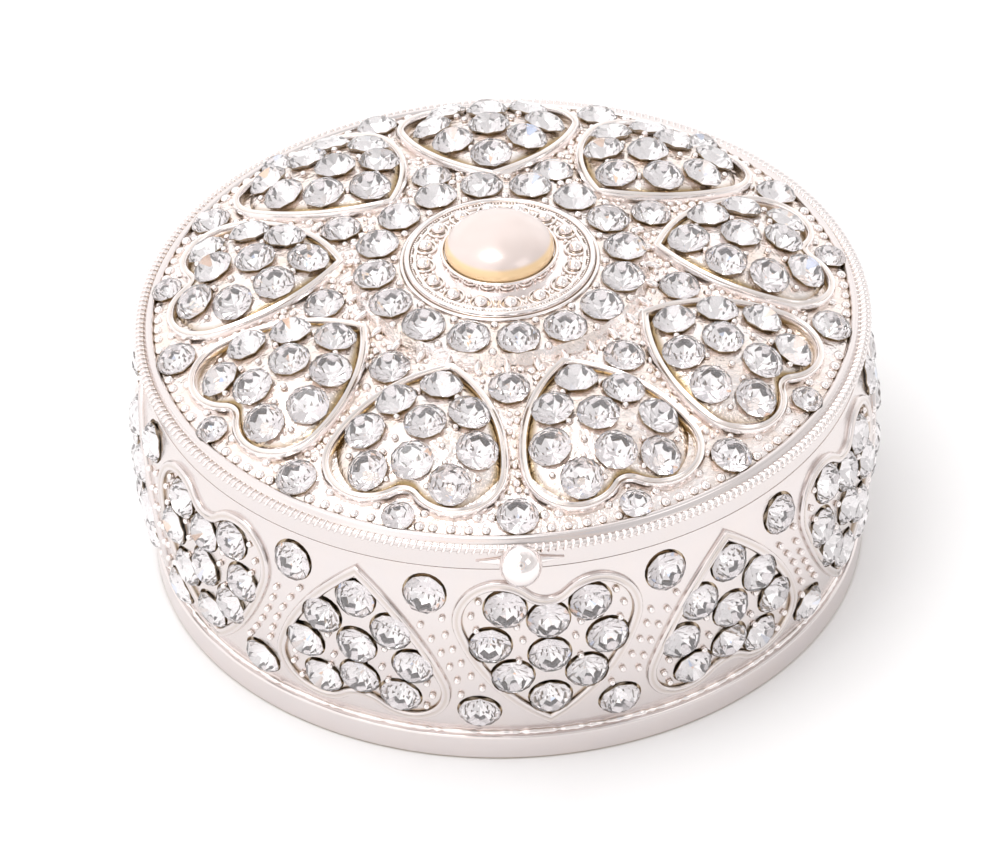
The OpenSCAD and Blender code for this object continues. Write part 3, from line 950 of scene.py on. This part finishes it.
class KUMKUM_OT_lid_shell(KumkumOperator, bpy.types.Operator):
    """Turn the lid: dome, band round the pearl, shoulder, rim roll, skirt and hollow."""

    bl_idname = "kumkum.lid_shell"
    bl_label = "Lid"

    def execute(self, context):
        lid, stones, pearl = sizes("lid"), sizes("stones"), sizes("pearl")
        soft = 0.12 * MM
        edge = 0.02 * MM
        band_out = stones.ring_radius + stones.ring / 2
        band_in = pearl.disc_radius + 0.02 * MM
        rim = lid.rim_radius - lid.bead
        rim_z = lid.shoulder_z - lid.bead_drop
        bottom = lid.bottom_z - SEAM_DROP
        dome_end = lid.dome_edge - 0.4 * MM
        shoulder_roll = 0.36 * MM

        def dome_points(start, end, count, lift):
            return [(start + (end - start) * k / count, dome_z(start + (end - start) * k / count, lift))
                    for k in range(count + 1)]

        outline = dome_points(0, band_in - soft, 3, 0.0)
        outline += dome_points(band_in, band_out - 3 * soft, 6, stones.ring_rise)
        outline += dome_points(band_out + soft, dome_end, 30, 0.0)
        outline += arc_points((lid.dome_edge + edge, lid.shoulder_z - edge), shoulder_roll, 2.9, 0.2, 8)
        outline += [(rim - 0.35 * MM, lid.shoulder_z - 0.15 * MM)]
        outline += arc_points((rim, rim_z), lid.bead * 0.5, math.radians(130), math.radians(-100), 10)
        outline += [(lid.skirt_radius, rim_z - 0.7 * lid.bead), (lid.skirt_radius, bottom + edge)]
        outline += [(lid.skirt_radius - edge, bottom), (lid.skirt_inner + soft, bottom)]
        outline += [(lid.skirt_inner, bottom + soft), (lid.skirt_inner, lid.pocket_z)]
        inner = [p for p in dome_points(lid.skirt_inner, 0, 24, -lid.thickness) if p[1] > lid.pocket_z]
        outline += [(inner[0][0] + soft, lid.pocket_z)]
        outline += inner
        dome = turned("lid_dome", outline, LATHE_STEPS)
        large = lid_circle(stones.gap_radius, 0) + lid_circle(stones.rim_radius, 0)
        cut(dome, seat_drill(stones.diameter, stones.lift), large)
        cut(dome, seat_drill(stones.ring, stones.lift), lid_ring_stones())
        cut(dome, seat_drill(stones.small, stones.lift), lid_circle(stones.notch_radius, 0.5))
        smooth(dome, 35)
        finished(dome, "lid", ["lid_casting"], "silver_plate", cast_silver(), shaded_plain_silver())
        for face in dome.data.polygons:
            plain = math.hypot(face.center.x, face.center.y) > dome_end
            inside = face.center.z < lid.pocket_z or face.normal.z < 0
            face.material_index = 1 if plain or inside else 0
        return {"FINISHED"}


# Across a frame's edge from the outside: share of its width, share of its height, depth of the patina and
# painted shade
FRAME_SECTION = (
    (0.0, -0.35, 0.1), (0.03, 0.35, 0.0), (0.1, 0.76, 0.0), (0.19, 0.98, 0.0),
    (0.29, 0.96, 0.0), (0.41, 0.78, 0.22), (0.55, 0.76, 0.22), (0.66, 0.94, 0.0),
    (0.77, 1.0, 0.0), (0.88, 0.8, 0.0), (0.96, 0.35, 0.55), (1.0, -0.35, 1.0),
)


def frame_ring(name, heart, place, outside, height):
    """A heart's double edge: two fine ridges with a groove between them, swept round the outline."""
    hearts = sizes("hearts")
    across, rises, recesses = zip(*FRAME_SECTION)
    loops = [heart.outline(outside - share * hearts.edge_width) for share in across]

    def put(column, row):
        row = row % len(loops)
        x, y = loops[row][column % len(loops[0])]
        return place.point(x, y, rises[row] * height)

    # The recesses paint shade at the frame's foot and in its groove, with some patina.
    return bent_grid(name, len(loops[0]), len(loops), put, recesses)


def heart_bed(name, heart, place, groove):
    """The metal inside a heart's frame, with a groove along the frame."""
    rim = heart.outline(0)
    middle = Vector((0, place.middle))
    shares = (0, 0.2, 0.4, 0.55, 0.68, 0.78, 0.84, 0.87, 0.9, 0.93, 1, 1, 0)
    deep = (0, 0, 0, 0, 0, 0, 0.2, 0.7, 1, 1, 1, 2.2, 2.2)
    # Golden brown along the groove by the frame: painted shade where the frame shades the bed, with some
    # patina.
    recess = (0, 0, 0, 0, 0, 0, 0.1, 0.5, 0.85, 1, 1, 1, 1)
    first_hidden, hidden_depth = 10, -0.2 * MM

    def put(column, row):
        edge = Vector(rim[column % len(rim)])
        x, y = middle + (edge - middle) * shares[row]
        height = place.bed(x, y) - deep[row] * groove
        if row >= first_hidden:
            height = min(height, hidden_depth)
        return place.point(x, y, height)

    return bent_grid(name, len(rim), len(shares) - 1, put, recess)


def clear_stones(piece, places):
    """Cuts a frame away where a stone stands in it."""
    room = sizes("stones").diameter / 2 + 0.03 * MM
    drill = turned("clearance", [(0, -MM), (room, -MM), (room, 1.5 * MM), (0, 1.5 * MM)], 24)
    return cut(piece, drill, places)


class KUMKUM_OT_heart_frames(KumkumOperator, bpy.types.Operator):
    """Sweep the double edges of the hearts on the lid and on the side."""

    bl_idname = "kumkum.heart_frames"
    bl_label = "Heart frames"

    def execute(self, context):
        hearts = sizes("hearts")
        source = frame_ring("lid_frame", lid_heart(), LidHeartPlace(1), hearts.lid_outside, hearts.lid_frame)
        clear_stones(source, lid_heart_stones(1))
        smooth(source, SHARP_EDGE)
        numbers = range(1, LID_HEARTS + 1)
        turned_copies("lid_heart_frame", "lid", source, numbers, LID_HEARTS, polished_silver())
        for first in (1, 2):
            place = SideHeartPlace(first)
            source = frame_ring("side_frame", side_heart(), place, hearts.side_outside, hearts.side_frame)
            clear_stones(source, side_heart_stones(first))
            smooth(source, SHARP_EDGE)
            numbers = range(first, SIDE_HEARTS + 1, 2)
            turned_copies("side_heart_frame", "body", source, numbers, SIDE_HEARTS, shaded_plain_silver())
        return {"FINISHED"}


class KUMKUM_OT_heart_beds(KumkumOperator, bpy.types.Operator):
    """Raise the beds inside the lid's hearts."""

    bl_idname = "kumkum.heart_beds"
    bl_label = "Heart beds"

    def execute(self, context):
        stones = sizes("stones")
        source = heart_bed("heart_bed", lid_heart(), LidHeartPlace(1), 0.12 * MM)
        cut(source, seat_drill(stones.diameter, stones.lift), lid_heart_stones(1))
        smooth(source, SHARP_EDGE)
        turned_copies("lid_heart_bed", "lid", source, range(1, LID_HEARTS + 1), LID_HEARTS, cast_silver())
        return {"FINISHED"}


class KUMKUM_OT_stones(KumkumOperator, bpy.types.Operator):
    """Cut one stone and set a copy in every seat of the lid and the side."""

    bl_idname = "kumkum.stones"
    bl_label = "Stones"

    def execute(self, context):
        stones = sizes("stones")
        brilliant = stone_source()
        sets = [("lid_heart_stones_%d" % k, "lid", lid_heart_stones(k), stones.lid_size)
                for k in range(1, LID_HEARTS + 1)]
        sets += [("side_heart_stones_%d" % k, "body", side_heart_stones(k), stones.diameter)
                 for k in range(1, SIDE_HEARTS + 1)]
        sets += [
            ("side_point_stones", "body", side_point_stones(), stones.diameter),
            ("lid_ring_stones", "lid", lid_ring_stones(), stones.ring),
            ("lid_gap_stones", "lid", lid_circle(stones.gap_radius, 0), stones.diameter),
            ("lid_rim_stones", "lid", lid_circle(stones.rim_radius, 0), stones.diameter),
            ("lid_notch_stones", "lid", lid_circle(stones.notch_radius, 0.5), stones.small),
        ]
        for number, (node, body, places, size) in enumerate(sets):
            lift = stones.lift if body == "lid" else stones.side_lift
            places = set_places(places, size, lift, stones.seed + number)
            piece = copies(node.replace("stones", "crystals"), brilliant, places)
            finished(piece, body, [node], "crystal")
        drop(brilliant)
        return {"FINISHED"}


class KUMKUM_OT_prongs(KumkumOperator, bpy.types.Operator):
    """Set the small prong beads between the stones."""

    bl_idname = "kumkum.prongs"
    bl_label = "Prongs"

    def execute(self, context):
        for name, body, count, place_of, shares in (
            ("lid_prongs", "lid", LID_HEARTS, LidHeartPlace, LID_PRONG_SHARES),
            ("side_prongs", "body", SIDE_HEARTS, SideHeartPlace, SIDE_PRONG_SHARES),
        ):
            both_sides = [(way * x, y) for x, y in shares for way in (-1, 1)]
            studded(name, body, bead_source(BEAD), [
                matrix @ BEAD_LIFT
                for k in range(1, count + 1) for matrix in at_shares(place_of(k), both_sides)])
        return {"FINISHED"}


class KUMKUM_OT_rim_beads(KumkumOperator, bpy.types.Operator):
    """Set the short slanted strokes of the lid's rim."""

    bl_idname = "kumkum.rim_beads"
    bl_label = "Rim beads"

    def execute(self, context):
        lid = sizes("lid")
        rim = lid.rim_radius - lid.bead
        rim_z = lid.shoulder_z - lid.bead_drop
        stroke = bead_source(0.5 * MM, 8, 6)
        stroke.data.transform(Matrix.Diagonal((0.98, 0.34, 0.84, 1)))
        slanted = Matrix.Translation((rim, 0, rim_z)) @ Matrix.Rotation(math.radians(-30), 4, "X")
        studded("rim_beads", "lid", stroke, [
            Matrix.Rotation(FULL_TURN * k / RIM_STROKES, 4, "Z") @ slanted for k in range(RIM_STROKES)])
        return {"FINISHED"}


class KUMKUM_OT_granules(KumkumOperator, bpy.types.Operator):
    """Sow fine granules over the lid's ground, clear of hearts and stones."""

    bl_idname = "kumkum.granules"
    bl_label = "Granules"

    def execute(self, context):
        stones = sizes("stones")
        heart = lid_heart()
        inverse = [LidHeartPlace(k).matrix.inverted() for k in range(1, LID_HEARTS + 1)]
        taken = [(m.translation, stones.diameter / 2)
                 for m in lid_circle(stones.gap_radius, 0) + lid_circle(stones.rim_radius, 0)]
        taken += [(m.translation, stones.small / 2) for m in lid_circle(stones.notch_radius, 0.5)]

        frame_room, below = 0.2 * MM, -2 * MM

        def free(point, room):
            if any((point - other).length < radius + room for other, radius in taken):
                return False
            local = [m @ point for m in inverse]
            return not any(heart.holds(p.x, p.y, room + frame_room) and p.z > below for p in local)

        chance = random.Random(stones.seed)
        places = []
        step, last, grain_room, blob_room = 0.85 * MM, 26.2 * MM, 0.2 * MM, 0.3 * MM
        first = stones.ring_radius + stones.ring / 2 + 0.7 * MM
        for ring in range(int((last - first) / step) + 1):
            radius = first + ring * step
            count = int(FULL_TURN * radius / step)
            for k in range(count):
                turn = FULL_TURN * (k + 0.5 * (ring % 2) + chance.uniform(-0.25, 0.25)) / count
                place = on_dome(radius + chance.uniform(-0.2, 0.2) * MM, turn)
                if free(place.translation, grain_room):
                    places.append(place @ Matrix.Scale(chance.uniform(0.6, 1.4), 4))
        studded("lid_granules", "lid", bead_source(BEAD, 7, 5), places)
        places = []
        blob_rows = ((27.9 * MM, 132), (26.75 * MM, 126))
        for radius, count in blob_rows:
            for k in range(count):
                place = on_dome(radius, FULL_TURN * (k + chance.uniform(-0.1, 0.1)) / count)
                if free(place.translation, blob_room):
                    places.append(place @ Matrix.Scale(chance.uniform(0.85, 1.1), 4))
        studded("rim_blobs", "lid", bead_source(0.45 * MM, 9, 6, 0.8), places)
        return {"FINISHED"}


class KUMKUM_OT_side_beads(KumkumOperator, bpy.types.Operator):
    """Set the columns of small beads beside the hearts of the side."""

    bl_idname = "kumkum.side_beads"
    bl_label = "Side beads"

    def execute(self, context):
        heart = side_heart()
        outside, spacing, lowest, highest = 0.85 * MM, 1.25 * MM, 0.24 * heart.size, 0.8 * heart.size
        outline = heart.outline(outside)
        places = []
        for k in range(1, SIDE_HEARTS + 1):
            place = SideHeartPlace(k)
            run = 0.0
            last = None
            for x, y in outline:
                if last is not None:
                    run += math.hypot(x - last[0], y - last[1])
                last = (x, y)
                if run > spacing and lowest < y < highest:
                    run = 0.0
                    places.append(place.upright(x, y) @ BEAD_LIFT)
        studded("side_beads", "body", bead_source(BEAD, 8, 6), places)
        return {"FINISHED"}


class KUMKUM_OT_band_bars(KumkumOperator, bpy.types.Operator):
    """Lay the short radial bars outside the ring of stones, and the prongs between those stones."""

    bl_idname = "kumkum.band_bars"
    bl_label = "Band bars"

    def execute(self, context):
        stones = sizes("stones")
        bar = bead_source(0.34 * MM, 8, 6)
        bar.data.transform(Matrix.Diagonal((2.6, 0.9, 1, 1)))
        step = FULL_TURN / RING_STONES
        outside, lift, slope = 2.1 * MM, 0.15 * MM, math.radians(24)
        places = []
        for k in range(2 * RING_STONES):
            turn = ring_turn() + (k + 0.5) * step / 2
            place = on_dome(stones.ring_radius + outside, turn, lift)
            level = Matrix.Translation(place.translation) @ Matrix.Rotation(turn, 4, "Z")
            places.append(level @ Matrix.Rotation(slope, 4, "Y"))
        studded("band_bars", "lid", bar, places)
        rise = stones.ring_rise + 0.1 * MM
        studded("band_prongs", "lid", bead_source(0.36 * MM), [
            on_dome(stones.ring_radius + way * MM, ring_turn() + (k + 0.5) * step, rise)
            for k in range(RING_STONES) for way in (-1.65, 1.35)])
        return {"FINISHED"}


class KUMKUM_OT_pearl(KumkumOperator, bpy.types.Operator):
    """Make the pearl, its raised disc, the ring of balls and the collar."""

    bl_idname = "kumkum.pearl"
    bl_label = "Pearl and setting"

    def execute(self, context):
        lid, stones, pearl = sizes("lid"), sizes("stones"), sizes("pearl")
        crown = lid.shoulder_z + lid.dome_rise
        top = crown + pearl.disc_rise
        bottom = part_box("pearl_setting")[0].z
        wire = pearl.wire
        collar = pearl.radius + 0.05 * MM
        floor = top - 0.12 * MM
        edge = pearl.disc_radius - 0.05 * MM
        outline = [(0, bottom), (edge, bottom), (edge, top - wire)]
        outline += arc_points((edge - wire, top), wire, 0, math.pi, 8)
        outline += [(edge - 2.2 * wire, floor), (edge - 3 * wire, floor)]
        outline += arc_points((edge - 4 * wire, floor + 0.03 * MM), 0.8 * wire, 0.1, math.pi, 6)
        outline += [(collar + pearl.collar_wall + 0.4 * MM, floor), (collar + pearl.collar_wall, top)]
        outline += arc_points(
            (collar + pearl.collar_wall / 2, top + pearl.collar - pearl.collar_wall / 2),
            pearl.collar_wall / 2, 0, math.pi, 6)
        outline += [(collar, top), (0, top)]
        disc = turned("pearl_disc", outline, DISC_STEPS)
        smooth(disc, 50)
        finished(disc, "lid", ["pearl_setting"], "silver_plate", burnished_silver())
        wire_radius = pearl.disc_radius + 0.14 * MM
        wire_z = dome_z(wire_radius, stones.ring_rise) + 0.06 * MM
        plated(smooth_ring("pearl_disc_wire", wire_radius, wire_z, 0.2 * MM, 8, DISC_STEPS), "lid")

        def round_disc(count, radius, height, offset=0.0):
            return [Matrix.Rotation(ring_turn() + (k + offset) * FULL_TURN / count, 4, "Z")
                    @ Matrix.Translation((radius, 0, height)) for k in range(count)]

        ring = pearl.ball_ring
        studded("pearl_disc_balls", "lid", bead_source(pearl.ball, 16, 10),
                round_disc(RING_STONES, ring, top + 0.1 * MM))
        petal_radius, petal_width, petal_height = 0.86 * MM, 0.11 * MM, 0.13 * MM
        petal = turned("petal", [
            (petal_radius + petal_width * x, petal_height * z)
            for x, z in arc_points((0, 0), 1, 0, FULL_TURN, 6)[:-1]], 24)
        smooth(petal)
        studded("pearl_disc_scallops", "lid", petal, round_disc(RING_STONES, ring, floor + 0.1 * MM))
        grain_rows = ((0.85 * MM, 0.06 * MM), (-0.55 * MM, 0.1 * MM), (0.1 * MM, 0.02 * MM))
        studded("pearl_disc_grains", "lid", bead_source(0.2 * MM, 7, 5), [
            place for out, up in grain_rows
            for place in round_disc(RING_STONES, ring + out, floor + up, 0.5)])
        studded("pearl_disc_cord", "lid", bead_source(0.11 * MM, 6, 4),
                round_disc(CORD_BEADS, edge - 2.6 * wire, floor + 0.08 * MM))
        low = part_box("pearl")[0].z
        equator = low + 0.85 * MM
        dome_rise, underside_share = pearl.top_z - equator, 0.4
        outline = [(0, low), (pearl.radius * 0.86, low)]
        for a in [math.radians(-25 + 115 * k / 24) for k in range(25)]:
            rise = dome_rise * math.sin(a) * (1 if a > 0 else underside_share)
            outline.append((pearl.radius * math.cos(a), equator + rise))
        nacre = turned("half_pearl", outline, 96)
        smooth(nacre, SHARP_EDGE)
        finished(nacre, "lid", ["pearl"], "pearl", pearl_material())
        return {"FINISHED"}


class KUMKUM_OT_thumb_catch(KumkumOperator, bpy.types.Operator):
    """Make the thumb ball and its pointed plate."""

    bl_idname = "kumkum.thumb_catch"
    bl_label = "Thumb catch"

    def execute(self, context):
        body, lid = sizes("body"), sizes("lid")
        low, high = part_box("thumb_catch")
        radius = (high.z - low.z) / 2
        middle_z = (high.z + low.z) / 2
        out = -low.y - radius
        deselect()
        bpy.ops.mesh.primitive_uv_sphere_add(
            segments=40, ring_count=24, radius=radius, location=(0, -out, middle_z))
        ball = bpy.context.object
        bpy.ops.object.transform_apply(location=True, rotation=True, scale=True)
        bpy.ops.object.shade_smooth()
        ball.name = "thumb_ball"
        finished(ball, "lid", ["thumb_catch"], "silver_plate", burnished_silver())
        half = (high.x - low.x) / 2
        columns, sides = 32, 10
        half_height, thickness, stand_off = 0.6 * MM, 0.42 * MM, 0.04 * MM
        section = arc_points((0, 0), 1, 0, FULL_TURN, sides)
        plate_z = body.rim_z + 0.9 * MM

        def put(column, row):
            along = -1 + 2 * column / columns
            width = (1 - abs(along) ** 1.2) * half_height
            a, b = section[row % sides]
            turn = -math.pi / 2 + along * half / lid.skirt_radius
            swell = max(b, -0.3) * thickness * (1 - abs(along) ** 2 * 0.7)
            distance = lid.skirt_radius + stand_off + swell
            return Vector((distance * math.cos(turn), distance * math.sin(turn), plate_z + a * width))

        plate = bent_grid("thumb_plate", columns, sides, put)
        smooth(plate, SHARP_EDGE)
        plated(plate, "lid")
        return {"FINISHED"}


class KUMKUM_OT_hinge(KumkumOperator, bpy.types.Operator):
    """Finish the packed hinge leaves and pin."""

    bl_idname = "kumkum.hinge"
    bl_label = "Hinge"

    def execute(self, context):
        for node, material in (
            ("body_hinge_leaf", polished_silver()), ("lid_hinge_leaf", polished_silver()),
            ("hinge_pin", steel_material()),
        ):
            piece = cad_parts[node]
            piece.data.materials.clear()
            piece.data.materials.append(material)
        return {"FINISHED"}


class KUMKUM_OT_stage(KumkumOperator, bpy.types.Operator):
    """Lay the floor, light the box and set the camera."""

    bl_idname = "kumkum.stage"
    bl_label = "Stage"

    def execute(self, context):
        lay_floor()
        light_world()
        hang_lamps()
        set_camera()
        context.scene.view_settings.view_transform = "Standard"
        return {"FINISHED"}


def lay_floor():
    """A wide, matt, nearly white floor."""
    deselect()
    bpy.ops.mesh.primitive_circle_add(vertices=64, radius=4, fill_type="NGON", location=(0, 0, 0))
    floor = bpy.context.object
    floor.name = "floor"

    def build(tree, finishes):
        return add_node(tree, "BsdfDiffuse", {"Color": (*finishes.floor, 1)}).outputs["BSDF"]

    floor.data.materials.append(make_material("Floor", build))


# Colours seen near the lens's own direction: cloth white, with a thin blue and a thin orange flash
CLOTH = (1, 0.985, 0.985, 1)
FLASHES = (
    (0.89, CLOTH), (0.896, (0.4, 0.6, 1, 1)), (0.902, CLOTH),
    (0.932, CLOTH), (0.939, (1, 0.5, 0.2, 1)), (0.946, CLOTH),
)


def light_world():
    """White seen by the camera, and a soft studio round the box.

    The studio is bright at the left, grey at the right and dark round the lens.
    """
    world = bpy.data.worlds.new("Studio")
    bpy.context.scene.world = world
    world.use_nodes = True
    tree = world.node_tree
    tree.nodes.clear()
    place = add_node(tree, "TexCoord", {}).outputs["Generated"]
    split = add_node(tree, "SeparateXYZ", {"Vector": place}).outputs
    side = ranged(tree, split["X"], (-0.07, 0.05, 1.32, 0.8), "SMOOTHSTEP")
    behind = ranged(tree, split["Y"], (0.1, 0.6, 0.0, 1.0), "SMOOTHSTEP")
    sides = add_node(tree, "Mix", {"Factor": behind, "A": side, "B": 1.26}).outputs["Result"]
    folds = ranged(tree, noise(tree, 3.2, 1, "Generated"), (0.3, 0.7, 0.9, 1.14))
    lens_way = add_node(tree, "VectorMath", {
        0: place, 1: Vector((0.0, -0.78, 0.62)).normalized()}, operation="DOT_PRODUCT").outputs["Value"]
    lens = ranged(tree, lens_way, (0.989, 0.9965, 1.0, 0.38), "SMOOTHSTEP")
    level = joined(tree, "MULTIPLY", joined(tree, "MULTIPLY", sides, folds), lens)
    flashes = add_node(tree, "ValToRGB", {"Fac": lens_way})
    for end in (0, 1):
        flashes.color_ramp.elements[end].color = CLOTH
    for position, tint in FLASHES:
        flashes.color_ramp.elements.new(position).color = tint
    studio = add_node(tree, "Background", {"Color": flashes.outputs["Color"], "Strength": level})
    white = add_node(tree, "Background", {"Color": (1, 1, 1, 1)})
    rays = add_node(tree, "LightPath", {})
    seen = add_node(tree, "MixShader", {
        "Fac": rays.outputs["Is Camera Ray"],
        1: studio.outputs["Background"], 2: white.outputs["Background"]})
    add_node(tree, "OutputWorld", {"Surface": seen.outputs["Shader"]})


def hang_lamps():
    """A soft lamp overhead, a little to the left, and a weaker one at the right."""
    for name, place, size, power in (
        ("key_lamp", (-0.1, -0.06, 0.5), 0.2, 0.45), ("fill_lamp", (0.3, -0.2, 0.35), 0.2, 0.1),
    ):
        deselect()
        bpy.ops.object.light_add(type="AREA", location=place)
        lamp = bpy.context.object
        lamp.name = name
        lamp.data.size = size
        lamp.data.energy = power
        lamp.rotation_euler = (Vector(place) - Vector((0, 0, 0.01))).to_track_quat("Z", "Y").to_euler()


def set_camera():
    """The photograph's view: a long lens, 38.6 degrees above the table."""
    lid = sizes("lid")
    picture_width, focal_pixels = 1001, 8442.2
    distance_share, slide_share, drop_share = 22.84, -0.0142, -0.2987
    elevation, roll, turn = math.radians(38.634), math.radians(2.012), math.radians(-1.469)
    radius = lid.rim_radius
    back = Vector((0, -math.cos(elevation), math.sin(elevation)))
    right = Vector((1, 0, 0))
    up = back.cross(right)
    place = back * distance_share * radius + right * slide_share * radius + up * drop_share * radius
    view_right = right * math.cos(roll) - up * math.sin(roll)
    view_up = right * math.sin(roll) + up * math.cos(roll)
    matrix = Matrix((view_right, view_up, back)).transposed().to_4x4()
    matrix.translation = place
    target = Matrix.Translation((0, 0, lid.shoulder_z - lid.bead_drop))
    deselect()
    bpy.ops.object.camera_add()
    camera = bpy.context.object
    camera.name = "camera"
    camera.matrix_world = target @ Matrix.Rotation(turn, 4, "Z") @ matrix
    camera.data.sensor_width = 36
    camera.data.lens = focal_pixels / picture_width * camera.data.sensor_width
    camera.data.clip_start = 0.01
    camera.data.clip_end = 100
    bpy.context.scene.camera = camera


OPERATORS = (
    KUMKUM_OT_body_shell, KUMKUM_OT_lid_shell, KUMKUM_OT_heart_frames, KUMKUM_OT_heart_beds, KUMKUM_OT_stones,
    KUMKUM_OT_prongs, KUMKUM_OT_rim_beads, KUMKUM_OT_granules, KUMKUM_OT_side_beads, KUMKUM_OT_band_bars,
    KUMKUM_OT_pearl, KUMKUM_OT_thumb_catch, KUMKUM_OT_hinge, KUMKUM_OT_stage,
)


class KUMKUM_PT_panel(bpy.types.Panel):
    """Lists the steps that make the box."""

    bl_idname = "KUMKUM_PT_panel"
    bl_label = "Kumkum box"
    bl_space_type = "VIEW_3D"
    bl_region_type = "UI"
    bl_category = "Kumkum box"

    def draw(self, context):
        for operator in OPERATORS:
            self.layout.operator(operator.bl_idname)
        for name, group in SETTINGS.items():
            box = self.layout.box()
            box.label(text=group.__doc__)
            for size in group.__annotations__:
                box.prop(getattr(context.scene, name), size)


CLASSES = (*SETTINGS.values(), *OPERATORS, KUMKUM_PT_panel)


def register():
    for cls in CLASSES:
        bpy.utils.register_class(cls)
    for name, group in SETTINGS.items():
        setattr(bpy.types.Scene, name, PointerProperty(type=group))


def unregister():
    for name in SETTINGS:
        delattr(bpy.types.Scene, name)
    for cls in reversed(CLASSES):
        bpy.utils.unregister_class(cls)


def main():
    register()
    for operator in OPERATORS:
        group, name = operator.bl_idname.split(".")
        getattr(getattr(bpy.ops, group), name)()


if __name__ == "__main__":
    main()
